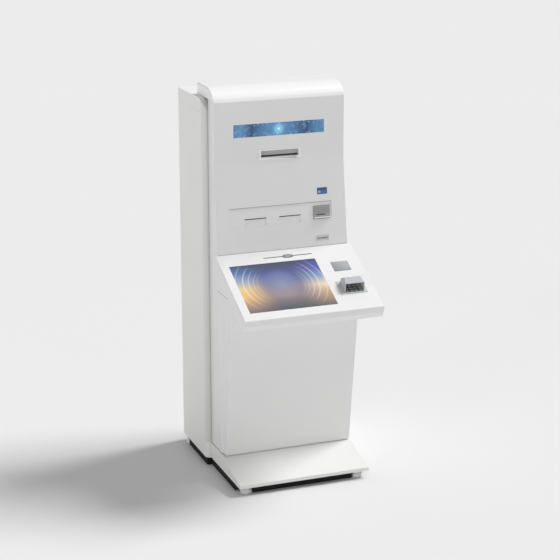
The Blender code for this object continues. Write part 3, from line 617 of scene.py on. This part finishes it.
def make_piece(name, bm, body, slot, replaced=(), finish=None):
    """Turns a bmesh into a finished piece that rides on a body."""
    mesh = bpy.data.meshes.new(name)
    bm.to_mesh(mesh)
    bm.free()
    mesh.materials.append(finish or finish_of_slot[slot])
    mesh.polygons.foreach_set("use_smooth", [True] * len(mesh.polygons))
    mesh.set_sharp_from_angle(angle=SHARP)
    piece = bpy.data.objects.new(name, mesh)
    scene.collection.objects.link(piece)
    even = piece.modifiers.new("even_shading", "WEIGHTED_NORMAL")
    even.keep_sharp = True
    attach(piece, body)
    if replaced:
        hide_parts(*replaced)
    return piece


def soften(node, radius):
    """Replaces one solid by its copy with rounded edges."""
    bm = round_edges(merged_copy(node), radius)
    body = frame["nodes"][node]["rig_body"]
    return make_piece(node + "_formed", bm, body, slot_of_node[node], (node,))


SOFT_EDGES = {
    "left_side_panel": 0.0003,
    "right_side_panel": 0.0003,
    "roof_panel": 0.0003,
    "base_frame": 0.0005,
    "plinth_cover": 0.0010,
    "rear_frame": 0.0005,
    "cabinet_floor": 0.0005,
    "computer": 0.0010,
    "power_supply": 0.0010,
    "lower_cover": 0.0008,
    "support_rail": 0.0006,
    "banner_panel": 0.0010,
    "banner_light_tray": 0.0008,
    "receipt_printer": 0.0010,
    "document_printer": 0.0015,
    "card_reader": 0.0012,
    "display_panel": 0.0010,
    "keypad_base": 0.0008,
    "rear_door": 0.0008,
}
for node, radius in SOFT_EDGES.items():
    soften(node, radius)
print("softened solids:", len(SOFT_EDGES))

# %% [markdown]
# ## Two working planes
#
# The console slopes and the lower part of the fascia leans, and most fittings sit square to one of them. Each
# plane gets its own frame, so a fitting is described by plain distances: across, along the plane, and out
# from it. A box in a frame is a cube that is scaled, placed and turned before anything else is done to it.
# Some shapes are cut with another: the cutter is a short-lived object, and a Boolean modifier does the cut.

# %% Working planes
LEAN_RUN, LEAN_RISE = 0.045, 0.371
LEAN = math.atan2(LEAN_RUN, LEAN_RISE)
ON_CONSOLE = Matrix.Translation(CONSOLE_TOP) @ Matrix.Rotation(SLOPE, 4, "X")
ON_FASCIA = Matrix.Translation(CONSOLE_TOP) @ Matrix.Rotation(-LEAN, 4, "X")
UPRIGHT = Matrix.Identity(4)


def up_lean(height):
    """Distance up the leaning field of a height above the floor."""
    return (height - CONSOLE_TOP.z) / math.cos(LEAN)


def add_box(bm, low, high, frame_of=UPRIGHT, radius=0.0, segments=2):
    """A box between two corners of a working plane, with its edges rounded."""
    low, high = Vector(low), Vector(high)
    place = frame_of @ Matrix.Translation((low + high) / 2) @ Matrix.Diagonal((*(high - low), 1.0))
    made = bmesh.ops.create_cube(bm, size=1.0, matrix=place)
    if radius:
        bevel(bm, list({edge for vert in made["verts"] for edge in vert.link_edges}), radius, segments)
    return bm


def box_piece(name, boxes, body, slot, frame_of=UPRIGHT, radius=0.0004, finish=None, replaced=()):
    """A piece made of one or more small boxes."""
    bm = bmesh.new()
    for low, high in boxes:
        add_box(bm, low, high, frame_of, radius)
    return make_piece(name, bm, body, slot, replaced, finish)


def draw_out(bm, face, by):
    """Pulls a flat outline out into a solid, and gives the points that moved."""
    grown = bmesh.ops.extrude_face_region(bm, geom=[face])
    moved = [part for part in grown["geom"] if isinstance(part, bmesh.types.BMVert)]
    bmesh.ops.translate(bm, verts=moved, vec=by)
    bmesh.ops.recalc_face_normals(bm, faces=bm.faces)
    return moved


def as_block(bm):
    """A bmesh as a temporary object that other shapes are cut with."""
    mesh = bpy.data.meshes.new("cutter")
    bm.to_mesh(mesh)
    bm.free()
    block = bpy.data.objects.new("cutter", mesh)
    scene.collection.objects.link(block)
    return block


def cut_to(bm, block, operation="INTERSECT"):
    """The part of a shape that lies inside a block, or outside it."""
    uncut = as_block(bm)
    mesh = uncut.data
    cutter = uncut.modifiers.new("cut", "BOOLEAN")
    cutter.operation = operation
    cutter.solver = "EXACT"
    cutter.object = block
    evaluated = uncut.evaluated_get(bpy.context.evaluated_depsgraph_get())
    result = bmesh.new()
    result.from_mesh(evaluated.to_mesh())
    bpy.data.objects.remove(uncut)
    bpy.data.meshes.remove(mesh)
    return result


print("console slopes", round(math.degrees(SLOPE), 1), "and fascia leans", round(math.degrees(LEAN), 1))

# %% [markdown]
# ## The front shell
#
# The fascia is one long sheet, rolled over at the top into a hood, and closed by a cheek on each side. On the
# real machine the corner between sheet and cheek is ground and filled before painting, so it shows as one
# soft edge. Here a block with the same side outline has its long edges bevelled, and each sheet is cut to
# what lies inside that block, which gives the three sheets one common soft corner. The fascia is first drawn
# out sideways a little past the block, so that the cut shapes its ends too.

# %% The front shell
CORNER_SOFTNESS = 0.006
shell_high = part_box("fascia_panel")[1]
cheek_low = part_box("left_cheek")[0]
FASCIA_FACE = banner_low.y - 0.0005
HOOD_RADIUS = 0.105
HOOD_CREASE = math.radians(28)
HOOD_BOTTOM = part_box("roof_panel")[1].z + 0.0008
LEAN_TOP = 1.340
FAR = 0.6
PAST_THE_SIDE = 0.286


def shell_block():
    """A solid block with the front shell's outline and softened long edges."""
    middle = Vector((0.0, FASCIA_FACE + HOOD_RADIUS * math.cos(HOOD_CREASE), shell_high.z - HOOD_RADIUS))
    bm = bmesh.new()
    nose = bm.verts.new(middle + Vector((cheek_low.x, 0.0, HOOD_RADIUS)))
    bmesh.ops.spin(
        bm,
        geom=[nose],
        cent=middle,
        axis=(1.0, 0.0, 0.0),
        angle=math.pi / 2 - HOOD_CREASE,
        steps=12,
        use_merge=False,
    )
    points = sorted((vert.co.copy() for vert in bm.verts), key=lambda point: -point.z)
    bm.clear()
    rest = [
        (FASCIA_FACE, LEAN_TOP),
        (CONSOLE_TOP.y + 0.0003, CONSOLE_TOP.z),
        (-FAR, CONSOLE_TOP.z),
        (-FAR, 0.0),
        (FAR, 0.0),
        (FAR, HOOD_BOTTOM),
        (shell_high.y, HOOD_BOTTOM),
        (shell_high.y, shell_high.z),
    ]
    points += [Vector((cheek_low.x, depth, height)) for depth, height in rest]
    side = bm.faces.new([bm.verts.new(point) for point in points])
    draw_out(bm, side, (-2 * cheek_low.x, 0.0, 0.0))
    soft = [
        edge
        for edge in bm.edges
        if abs(edge.verts[0].co.x - edge.verts[1].co.x) < 0.001
        and all(-0.05 < vert.co.y < FAR - 0.1 and vert.co.z > HOOD_BOTTOM - 0.7 for vert in edge.verts)
    ]
    bevel(bm, soft, CORNER_SOFTNESS, 4, clamp=False)
    return bm


block = as_block(shell_block())
for node in ("fascia_panel", "left_cheek", "right_cheek"):
    bm = round_edges(merged_copy(node), 0.0005, 1)
    for vert in bm.verts:
        if node == "fascia_panel" and abs(vert.co.x) > shell_high.x - 0.0004:
            vert.co.x = math.copysign(PAST_THE_SIDE, vert.co.x)
    make_piece(node + "_formed", cut_to(bm, block), "front_assembly", "front_paint", (node,))
bpy.data.objects.remove(block)
print("front shell corners softened by", CORNER_SOFTNESS * 1000, "mm")

# %% [markdown]
# ## The console's lid and tray
#
# The console is a lid over a tray, both folded from sheet and welded at the corners. The welds are ground to
# a radius of about 2 mm, which catches the light along the rim. As before, a block with soft corners is drawn
# from the console's side outline, and the two sheets are cut to it.

# %% The console's lid and tray
CONSOLE_CORNER = 0.0022
TUCKED_IN = 0.020


def console_block():
    """A block around lid and tray whose side corners and front rim are softened."""
    lid_low, lid_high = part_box("console_lid")
    outline = [
        (CONSOLE_TOP.y + TUCKED_IN, CONSOLE_TOP.z + TUCKED_IN * math.tan(SLOPE)),
        (lid_low.y, CONSOLE_TOP.z + (lid_low.y - CONSOLE_TOP.y) * math.tan(SLOPE)),
        (lid_low.y + 0.0025, lid_low.z),
        (lid_low.y + 0.019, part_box("console_tray")[0].z),
        (CONSOLE_TOP.y + TUCKED_IN, CONSOLE_TOP.z - 0.050),
    ]
    bm = bmesh.new()
    side = bm.faces.new([bm.verts.new((lid_low.x, *point)) for point in outline])
    draw_out(bm, side, (lid_high.x - lid_low.x, 0.0, 0.0))
    soft = [edge for edge in bm.edges if edge.calc_face_angle(0.0) > math.radians(20)]
    soft = [edge for edge in soft if min(vert.co.y for vert in edge.verts) < CONSOLE_TOP.y]
    bevel(bm, soft, CONSOLE_CORNER, 3)
    return bm


block = as_block(console_block())
for node in ("console_lid", "console_tray"):
    bm = round_edges(merged_copy(node), 0.0004, 1)
    make_piece(node + "_formed", cut_to(bm, block), "front_assembly", "front_paint", (node,))
bpy.data.objects.remove(block)
print("console corners rounded by", CONSOLE_CORNER * 1000, "mm")

# %% [markdown]
# ## Paler and darker fittings
#
# The mouths are moulded in a few shades of plastic. The receipt and token frames are almost as pale as the
# shell, the card mouth is a cool mid grey, and the keypad hood is a light silver. The contactless pad has a
# darker printed border, and its middle is painted paler towards the upper right.

# %% Paler and darker fittings
def reader_pad_print():
    finish = Finish("reader_pad_print")
    x, down = down_the_slope(finish)
    low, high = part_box("contactless_reader")
    middle_x, half_x = (low.x + high.x) / 2, (high.x - low.x) / 2
    from_edge = half_x - abs(x - middle_x)
    border = 1.0 - finish.fade(from_edge, 0.0015, 0.0070)
    front_border = finish.fade(down, 0.158, 0.166)
    # The middle is painted paler towards the upper right.
    rise = finish.fade((x - middle_x) * 9.0 - (down - 0.1375) * 8.0, -0.55, 0.60)
    grain = finish.noise(300.0, 2.0, finish.stretched((0.10, 1.0, 1.0)))
    tone = finish.mix(rise, (0.270, 0.285, 0.300), (0.440, 0.450, 0.465))
    tone = finish.mix(border * 0.30 + front_border * 0.35, tone, (0.130, 0.140, 0.150))
    return finish.surface({"Base Color": tone, "Roughness": 0.34 + grain * 0.10})


pale_plastic = moulded("pale_frame_plastic", (0.920, 0.920, 0.915), (0.890, 0.890, 0.885), 0.42)
token_plastic = moulded("token_frame_plastic", (0.700, 0.700, 0.692), (0.660, 0.660, 0.652), 0.46)
card_plastic = moulded("card_mouth_plastic", (0.400, 0.405, 0.412), (0.350, 0.355, 0.362), 0.40)
hood_plastic = moulded("keypad_hood_plastic", (0.520, 0.535, 0.565), (0.470, 0.485, 0.515), 0.34)
shade_plastic = moulded("shaded_recess_plastic", (0.470, 0.470, 0.462), (0.430, 0.430, 0.422), 0.60)
pad_print = reader_pad_print()
print("finishes in all:", len(bpy.data.materials))

# %% [markdown]
# ## Receipt mouth
#
# A pale frame stands 3 mm out of the fascia. Its recess slopes back to a wide dark mouth along the bottom,
# where the slip of paper comes out, and the lower bar of the frame is chamfered so that the slip slides over
# it. The frame is one block with the recess and the mouth cut through, and a dark box closes it behind.

# %% Receipt mouth
def cut_away(bm, boxes, frame_of=UPRIGHT):
    """Cuts boxes out of a shape, one after another."""
    for low, high in boxes:
        block = as_block(add_box(bmesh.new(), low, high, frame_of))
        bm = cut_to(bm, block, "DIFFERENCE")
        bpy.data.objects.remove(block)
    return bm


receipt_low, receipt_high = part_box("receipt_bezel")
frame_block = add_box(bmesh.new(), receipt_low, receipt_high)
RECESS_LEFT, RECESS_RIGHT, RECESS_BOTTOM, RECESS_TOP = -0.083, 0.084, 1.3555, 1.3840
MOUTH_TOP, LIP_CHAMFER, SNUG = 1.3632, 0.0082, 0.0002
frame_block = cut_away(
    frame_block,
    [
        ((RECESS_LEFT, 0.0, RECESS_BOTTOM), (RECESS_RIGHT, 0.0165, RECESS_TOP)),
        ((RECESS_LEFT, 0.0, RECESS_BOTTOM), (RECESS_RIGHT, 0.0260, MOUTH_TOP)),
    ],
)
lower_lip = [
    edge
    for edge in frame_block.edges
    if all(abs(vert.co.z - RECESS_BOTTOM) < 0.0002 and vert.co.y < 0.003 for vert in edge.verts)
]
bevel(frame_block, lower_lip, LIP_CHAMFER, 1, clamp=False)
round_edges(frame_block, 0.0008, 2, lambda edge: all(vert.co.y < 0.004 for vert in edge.verts))
make_piece(
    "receipt_bezel_formed",
    frame_block,
    "front_assembly",
    "light_grey_plastic",
    ("receipt_bezel",),
    pale_plastic,
)
box_piece(
    "receipt_recess_wall",
    [((RECESS_LEFT + SNUG, 0.0150, MOUTH_TOP), (RECESS_RIGHT - SNUG, 0.0164, RECESS_TOP - SNUG))],
    "front_assembly",
    "light_grey_plastic",
    radius=0.0005,
    finish=shade_plastic,
)
box_piece(
    "receipt_mouth_shade",
    [((RECESS_LEFT + SNUG, 0.0170, RECESS_BOTTOM + SNUG), (RECESS_RIGHT - SNUG, 0.0250, MOUTH_TOP - SNUG))],
    "front_assembly",
    "dark_plastic",
)
print("receipt mouth:", round((RECESS_RIGHT - RECESS_LEFT) * 1000), "mm wide")

# %% [markdown]
# ## Document slots
#
# The insert with the two document slots sits a little back along its top edge and runs out flush at the
# bottom; the set-back and a strip of painted shade in the gap above it make one fine dark line. Below each
# slot a shallow scoop leads the paper down.
# The plate is a block whose front leans back, with the slots, the scoops and the card window cut out.

# %% Document slots
panel_left, panel_right = -0.2297, 0.2217
panel_bottom, panel_top = up_lean(1.0753), up_lean(1.1547)
SET_BACK, LINE_GAP = 0.0030, 0.0024
DOCUMENT_SLOTS = ((-0.165, -0.069), (-0.012, 0.083))
SLOT_HALF, SCOOP_TILT = 0.0021, math.radians(4)
CARD_WINDOW = ((0.1395, -0.02, up_lean(1.0825)), (0.2135, 0.03, up_lean(1.1385)))
slot_level = up_lean(1.106)
plate = add_box(
    bmesh.new(), (panel_left, 0.0, panel_bottom), (panel_right, 0.014, panel_top - LINE_GAP), ON_FASCIA
)
lean_back = ON_FASCIA @ Matrix.Translation((0.0, 0.0, panel_bottom))
lean_back = lean_back @ Matrix.Rotation(-math.atan2(SET_BACK, panel_top - panel_bottom), 4, "X")
face_skim = ((panel_left - 0.01, -0.03, -0.002), (panel_right + 0.01, 0.0002, 0.09))
plate = cut_away(plate, [face_skim], lean_back)
openings = [
    ((left, -0.02, slot_level - SLOT_HALF), (right, 0.03, slot_level + SLOT_HALF))
    for left, right in DOCUMENT_SLOTS
]
plate = cut_away(plate, openings + [CARD_WINDOW], ON_FASCIA)
scoop_frame = ON_FASCIA @ Matrix.Translation((0.0, 0.0, slot_level)) @ Matrix.Rotation(SCOOP_TILT, 4, "X")
scoops = [((left, -0.02, -0.028), (right, 0.0030, 0.0)) for left, right in DOCUMENT_SLOTS]
plate = cut_away(plate, scoops, scoop_frame)
round_edges(plate, 0.0005, 1)
make_piece("slot_panel_formed", plate, "front_assembly", "front_paint", ("slot_panel",))
# Painted shade: a grey strip in the gap along the top edge darkens the fine line there.
box_piece(
    "slot_panel_gap_shade",
    [((panel_left, 0.0020, panel_top - LINE_GAP + SNUG), (panel_right, 0.0120, panel_top))],
    "front_assembly",
    "dark_plastic",
    ON_FASCIA,
    0.0003,
    shade_plastic,
)
box_piece(
    "document_slot_linings",
    [
        ((left + SNUG, 0.0080, slot_level - 0.0020), (right - SNUG, 0.0130, slot_level + 0.0020))
        for left, right in DOCUMENT_SLOTS
    ],
    "front_assembly",
    "dark_plastic",
    ON_FASCIA,
)
print("document slots:", len(DOCUMENT_SLOTS))

# %% [markdown]
# ## Card mouth and token mouth
#
# The card mouth is a grey moulding with fine ribs above its slot, so a hand finds it by touch, and with a lip
# below that sticks out and carries the card. The lip has a bright face, and a dark strip under it is painted
# shadow. The token mouth is a small pale frame around one slit.

# %% Card mouth and token mouth
card_left, card_right = 0.1403, 0.2127
card_bottom, card_top = up_lean(1.0833), up_lean(1.1377)
mouth_level = up_lean(1.101)
card_block = add_box(bmesh.new(), (card_left, -0.0042, card_bottom), (card_right, 0.013, card_top), ON_FASCIA)
card_block = cut_away(
    card_block, [((0.150, -0.02, mouth_level - 0.0018), (0.192, 0.03, mouth_level + 0.0018))], ON_FASCIA
)
round_edges(card_block, 0.0012, 2)
RIBS, RIB_PITCH = 7, 0.0040
for rib in range(RIBS):
    level = mouth_level + 0.0065 + RIB_PITCH * rib
    rib_low = (card_left + 0.003, -0.0052, level)
    add_box(card_block, rib_low, (card_right - 0.003, -0.0040, level + 0.0020), ON_FASCIA, 0.0003, 1)
make_piece(
    "card_reader_bezel_formed",
    card_block,
    "front_assembly",
    "mid_grey_plastic",
    ("card_reader_bezel",),
    card_plastic,
)
LIP_BACK = -0.0035
lip_low = (card_left + 0.001, -0.0110, card_bottom + 0.0030)
box_piece(
    "card_lip",
    [(lip_low, (card_right - 0.001, LIP_BACK, card_bottom + 0.0072))],
    "front_assembly",
    "light_grey_plastic",
    ON_FASCIA,
    0.0012,
    pale_plastic,
)
# Painted shadow: a dark strip under the lip, where the lip's shade falls.
lip_shadow_low = (card_left + 0.002, -0.0070, card_bottom + 0.0004)
box_piece(
    "card_lip_shadow",
    [(lip_shadow_low, (card_right - 0.002, LIP_BACK, card_bottom + 0.0029))],
    "front_assembly",
    "dark_plastic",
    ON_FASCIA,
)
token_block = add_box(
    bmesh.new(), (0.1493, -0.0010, up_lean(0.9903)), (0.2057, 0.012, up_lean(1.0127)), ON_FASCIA
)
token_block = cut_away(
    token_block,
    [
        ((0.152, -0.02, up_lean(0.9930)), (0.203, 0.0022, up_lean(1.0100))),
        ((0.156, -0.02, up_lean(0.9990)), (0.199, 0.03, up_lean(1.0022))),
    ],
    ON_FASCIA,
)
round_edges(token_block, 0.0005, 2)
make_piece(
    "token_slot_bezel_formed",
    token_block,
    "front_assembly",
    "light_grey_plastic",
    ("token_slot_bezel",),
    token_plastic,
)
print("ribs on the card mouth:", RIBS)

# %% [markdown]
# ## A card sign
#
# Beside the card mouth is a small printed sign. It is a plain picture of a bank card with a dark stripe and a
# chip, and it belongs to nobody. Three thin layers of foil make it, each a hair thicker than the one below.

# %% A card sign
def foil(name, pale, dark):
    finish = Finish(name)
    cloud = finish.noise(260.0, 3.0)
    tone = finish.mix(cloud, dark, pale)
    return finish.surface({"Base Color": tone, "Roughness": 0.30 + cloud * 0.10})


blue_foil = foil("blue_foil", (0.080, 0.200, 0.420), (0.050, 0.150, 0.350))
black_foil = foil("black_foil", (0.060, 0.062, 0.070), (0.040, 0.042, 0.050))
gold_foil = foil("gold_foil", (0.720, 0.560, 0.260), (0.600, 0.450, 0.190))
SIGN_LAYERS = {
    "card_sign_card": ((0.160, 1.1850), (0.205, 1.2130), 0.0004, blue_foil),
    "card_sign_stripe": ((0.160, 1.2035), (0.205, 1.2080), 0.0006, black_foil),
    "card_sign_chip": ((0.1655, 1.1915), (0.1750, 1.1990), 0.0006, gold_foil),
}
for name, (low, high, thick, finish) in SIGN_LAYERS.items():
    corners = [((low[0], -thick, up_lean(low[1])), (high[0], -0.0001, up_lean(high[1])))]
    box_piece(name, corners, "front_assembly", "front_paint", ON_FASCIA, 0.0001, finish)
print("foil layers:", len(SIGN_LAYERS))

# %% [markdown]
# ## Light bar
#
# Along the top of the console runs a thin grey light guide with an eye-shaped lens in its middle. The eye is
# a ring of points whose height is pinched towards both ends, drawn up into a low plate, with a smaller and
# paler eye on it.

# %% Light bar
BAR_LEFT, BAR_RIGHT, BAR_DOWN = -0.1047, 0.1107, 0.0435
BAR_HALF, BAR_FOOT, EYE_PINCH = 0.0021, -0.004, 1.7


def eye_plate(bm, half_width, half_height, low, high):
    """An eye-shaped plate on the console, between two heights over its face."""
    ring = bmesh.ops.create_circle(bm, cap_ends=True, segments=40, radius=1.0)
    for vert in ring["verts"]:
        across, along = vert.co.x, vert.co.y
        vert.co = (across * half_width, math.copysign(abs(along) ** EYE_PINCH, along) * half_height, low)
    moved = draw_out(bm, ring["verts"][0].link_faces[0], (0.0, 0.0, high - low))
    middle = Matrix.Translation(((BAR_LEFT + BAR_RIGHT) / 2, -BAR_DOWN, 0.0))
    bmesh.ops.transform(bm, matrix=ON_CONSOLE @ middle, verts=ring["verts"] + moved)
    return bm


guide_low = (BAR_LEFT, -BAR_DOWN - BAR_HALF, BAR_FOOT)
guide = add_box(bmesh.new(), guide_low, (BAR_RIGHT, -BAR_DOWN + BAR_HALF, 0.0006), ON_CONSOLE, 0.0003)
eye_plate(guide, 0.0248, 0.0105, BAR_FOOT, 0.0007)
guide_finish = moulded("light_guide_grey", (0.150, 0.150, 0.155), (0.120, 0.120, 0.125), 0.40)
make_piece("light_bar_formed", guide, "front_assembly", "mid_grey_plastic", ("light_bar",), guide_finish)
lens = eye_plate(bmesh.new(), 0.0165, 0.0066, 0.0006, 0.0008)
make_piece("light_bar_lens", lens, "front_assembly", "mid_grey_plastic", (), card_plastic)
print("light bar:", round((BAR_RIGHT - BAR_LEFT) * 1000), "mm long")

# %% [markdown]
# ## Keypad, hood and contactless pad
#
# Each of the sixteen metal keys has a shallow dish in its top for the fingertip, made by insetting the top
# face and lowering it. Ten keys carry plain figures, and the last column is marked by the usual red, yellow
# and green tabs. The hood is a silver moulding, and the upper corners of its opening are drawn out square.

# %% Keypad, hood and contactless pad
FIGURES = ("123 ", "456 ", "789 ", " 0  ")
TABS = {
    "key_row1_column4": foil("red_tab", (0.560, 0.045, 0.040), (0.460, 0.030, 0.028)),
    "key_row2_column4": foil("yellow_tab", (0.760, 0.560, 0.060), (0.660, 0.470, 0.040)),
    "key_row3_column4": foil("green_tab", (0.060, 0.420, 0.130), (0.040, 0.330, 0.090)),
}
FIGURE_HEIGHT, INK_THICKNESS = 0.0085, 0.00005
ink = foil("figure_ink", (0.030, 0.030, 0.034), (0.018, 0.018, 0.020))


def figure_piece(figure, node, body, centre):
    """One printed figure, made into a mesh and laid on its key."""
    text = bpy.data.curves.new("figure", "FONT")
    text.body = figure
    text.size = FIGURE_HEIGHT
    text.extrude = INK_THICKNESS
    text.align_x = "CENTER"
    text.align_y = "CENTER"
    written = bpy.data.objects.new("figure", text)
    scene.collection.objects.link(written)
    evaluated = written.evaluated_get(bpy.context.evaluated_depsgraph_get())
    bm = bmesh.new()
    bm.from_mesh(evaluated.to_mesh())
    bpy.data.objects.remove(written)
    bmesh.ops.remove_doubles(bm, verts=bm.verts, dist=0.000001)
    laid = Matrix.Translation(centre) @ Matrix.Rotation(SLOPE, 4, "X")
    bmesh.ops.transform(bm, matrix=laid, verts=bm.verts)
    return make_piece(node + "_figure", bm, body, "key_steel", (), ink)


def key_piece(node):
    """One key with its top face stepped in and dished."""
    bm = merged_copy(node)
    top = max(bm.faces, key=lambda face: face.calc_center_median().dot(OFF_SLOPE))
    bmesh.ops.inset_region(bm, faces=[top], thickness=0.0012)
    bmesh.ops.inset_region(bm, faces=[top], thickness=0.0010, depth=-0.0004)
    middle = top.calc_center_median()
    make_piece(node + "_formed", bm, frame["nodes"][node]["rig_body"], "key_steel", (node,))
    return middle


for row, figures in enumerate(FIGURES, 1):
    for column, figure in enumerate(figures, 1):
        node = f"key_row{row}_column{column}"
        body = frame["nodes"][node]["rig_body"]
        middle = key_piece(node) + OFF_SLOPE * 0.00008
        if node in TABS:
            spot = Matrix.Translation(middle) @ Matrix.Rotation(SLOPE, 4, "X")
            corners = [((-0.0042, -0.0018, -0.0002), (0.0042, 0.0018, 0.0002))]
            box_piece(node + "_tab", corners, body, "key_steel", spot, 0.0001, TABS[node])
        elif figure != " ":
            figure_piece(figure, node, body, middle)

hood = merged_copy("keypad_hood")
hood_low, hood_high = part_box("keypad_hood")
hood_middle = (hood_low.x + hood_high.x) / 2
SQUARED, OPENING_SHOULDER, OPENING_INSIDE = 0.0085, 0.020, 0.038
to_console = ON_CONSOLE.inverted()
for vert in hood.verts:
    out = (to_console @ vert.co).z
    if vert.co.y < hood_low.y + 0.001 and out > OPENING_SHOULDER:
        from_middle = abs(vert.co.x - hood_middle)
        if from_middle < OPENING_INSIDE:
            vert.co.x = hood_middle + math.copysign(from_middle + SQUARED, vert.co.x - hood_middle)
        else:
            vert.co.z += SQUARED / math.cos(SLOPE)
round_edges(hood, 0.0006, 2)
make_piece("keypad_hood_formed", hood, "front_assembly", "mid_grey_plastic", ("keypad_hood",), hood_plastic)
pad = round_edges(merged_copy("contactless_reader"), 0.0010, 2)
make_piece(
    "contactless_reader_formed",
    pad,
    "front_assembly",
    "mid_grey_plastic",
    ("contactless_reader",),
    pad_print,
)
keys = "".join(FIGURES)
print("keys:", len(keys), "figures:", len(keys.replace(" ", "")), "tabs:", len(TABS))

# %% [markdown]
# ## Seams of the lower shell
#
# Where the deep lower cover meets the cheek, a bead of sheet eases the step so the joint hardly shows. Above
# it, each cheek has a thin dark slit at the height where the cover ends, which is the joint of the arm that
# holds the console. A bead is a three-sided bar, and the slit is a very thin dark strip.

# %% Seams of the lower shell
cover_low, cover_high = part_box("lower_cover")
BEAD_DEPTH = 0.0120
SHELL_HALF = -cheek_low.x
SLIT_LOW, SLIT_HIGH = (-0.1515, 0.8142), (-0.0265, 0.8156)
for side, sign in (("left", -1), ("right", 1)):
    outline = [
        (sign * (SHELL_HALF - 0.0004), cover_high.y + 0.0002),
        (sign * cover_high.x, cover_high.y + 0.0002),
        (sign * cover_high.x, cover_high.y - BEAD_DEPTH),
    ]
    bm = bmesh.new()
    foot = bm.faces.new([bm.verts.new((*point, cover_low.z)) for point in outline])
    draw_out(bm, foot, (0.0, 0.0, cover_high.z - cover_low.z))
    make_piece(side + "_cover_bead", bm, "front_assembly", "front_paint")
    face_x = sign * SHELL_HALF
    left_x, right_x = sorted((face_x - sign * 0.0004, face_x + sign * 0.00012))
    box_piece(
        side + "_cheek_slit",
        [((left_x, *SLIT_LOW), (right_x, *SLIT_HIGH))],
        "front_assembly",
        "dark_plastic",
        radius=0.0001,
        finish=guide_finish,
    )
print("beads and slits on both sides")

# %% [markdown]
# ## The dark skirt under the base
#
# The gap between base and floor is closed by a black skirt, set back between the feet, whose black is painted
# shadow for the deep shade under the base, so the machine seems to float. It is a ring of thin upright strips
# that stops short of every foot.

# %% The dark skirt under the base
SKIRT_LOW, SKIRT_HIGH = 0.0015, 0.0328
SKIRT_RUNS = [
    ((-0.2215, -0.2725), (0.2215, -0.2700)),
    ((-0.2870, -0.2280), (-0.2845, 0.0760)),
    ((0.2845, -0.2280), (0.2870, 0.0760)),
    ((-0.3075, 0.0780), (-0.3050, 0.3330)),
    ((0.3050, 0.0780), (0.3075, 0.3330)),
    ((-0.3050, 0.0780), (-0.2845, 0.0805)),
    ((0.2845, 0.0780), (0.3050, 0.0805)),
    ((-0.2570, 0.3740), (0.2570, 0.3765)),
]
strips = [((*start, SKIRT_LOW), (*end, SKIRT_HIGH)) for start, end in SKIRT_RUNS]
# The skirt's near-black finish is painted shadow for the shade under the base.
shadow_skirt_finish = moulded("painted_shadow_black", (0.012, 0.012, 0.012), (0.006, 0.006, 0.006), 0.90)
box_piece("base_shadow_skirt", strips, "cabinet", "dark_plastic", radius=0.0004, finish=shadow_skirt_finish)
print("skirt strips:", len(strips))

# %% [markdown]
# ## Levelling feet
#
# The feet are ribbed pucks with a short neck. Real ones are turned or moulded, so each is a profile from the
# axis outwards that is spun once round.

# %% Levelling feet
FOOT_PROFILE = [
    (0.0000, 0.0000), (0.0225, 0.0000), (0.0248, 0.0020), (0.0248, 0.0050), (0.0236, 0.0058),
    (0.0236, 0.0070), (0.0248, 0.0078), (0.0248, 0.0108), (0.0236, 0.0116), (0.0236, 0.0128),
    (0.0248, 0.0136), (0.0248, 0.0166), (0.0230, 0.0190), (0.0210, 0.0200), (0.0210, 0.0329),
    (0.0060, 0.0329), (0.0060, 0.0375), (0.0000, 0.0375),
]
FEET = [node for node in frame["nodes"] if node.startswith("foot_")]
for node in FEET:
    low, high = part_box(node)
    axis = Vector(((low.x + high.x) / 2, (low.y + high.y) / 2, 0.0))
    bm = bmesh.new()
    points = [bm.verts.new(axis + Vector((radius, 0.0, height))) for radius, height in FOOT_PROFILE]
    line = [bm.edges.new(pair) for pair in zip(points, points[1:])]
    bmesh.ops.spin(
        bm,
        geom=points + line,
        cent=axis,
        axis=(0.0, 0.0, 1.0),
        angle=2 * math.pi,
        steps=36,
        use_merge=True,
    )
    bmesh.ops.remove_doubles(bm, verts=bm.verts, dist=0.00001)
    bmesh.ops.recalc_face_normals(bm, faces=bm.faces)
    make_piece(node + "_formed", bm, frame["nodes"][node]["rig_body"], "foot_plastic", (node,))
print("feet:", len(FEET))

# %% [markdown]
# ## Finishes on the solids that stay
#
# Turned parts such as the rods, locks and rollers already have their real shape, so they stay as they are and
# only take their finish.

# %% Finishes on the solids that stay
for node, solid in frame["nodes"].items():
    if not solid.hide_render:
        if not solid.material_slots:
            solid.data.materials.append(None)
        for material_slot in solid.material_slots:
            material_slot.material = finish_of_slot[slot_of_node[node]]
print("solids kept:", sum(not solid.hide_render for solid in frame["nodes"].values()))
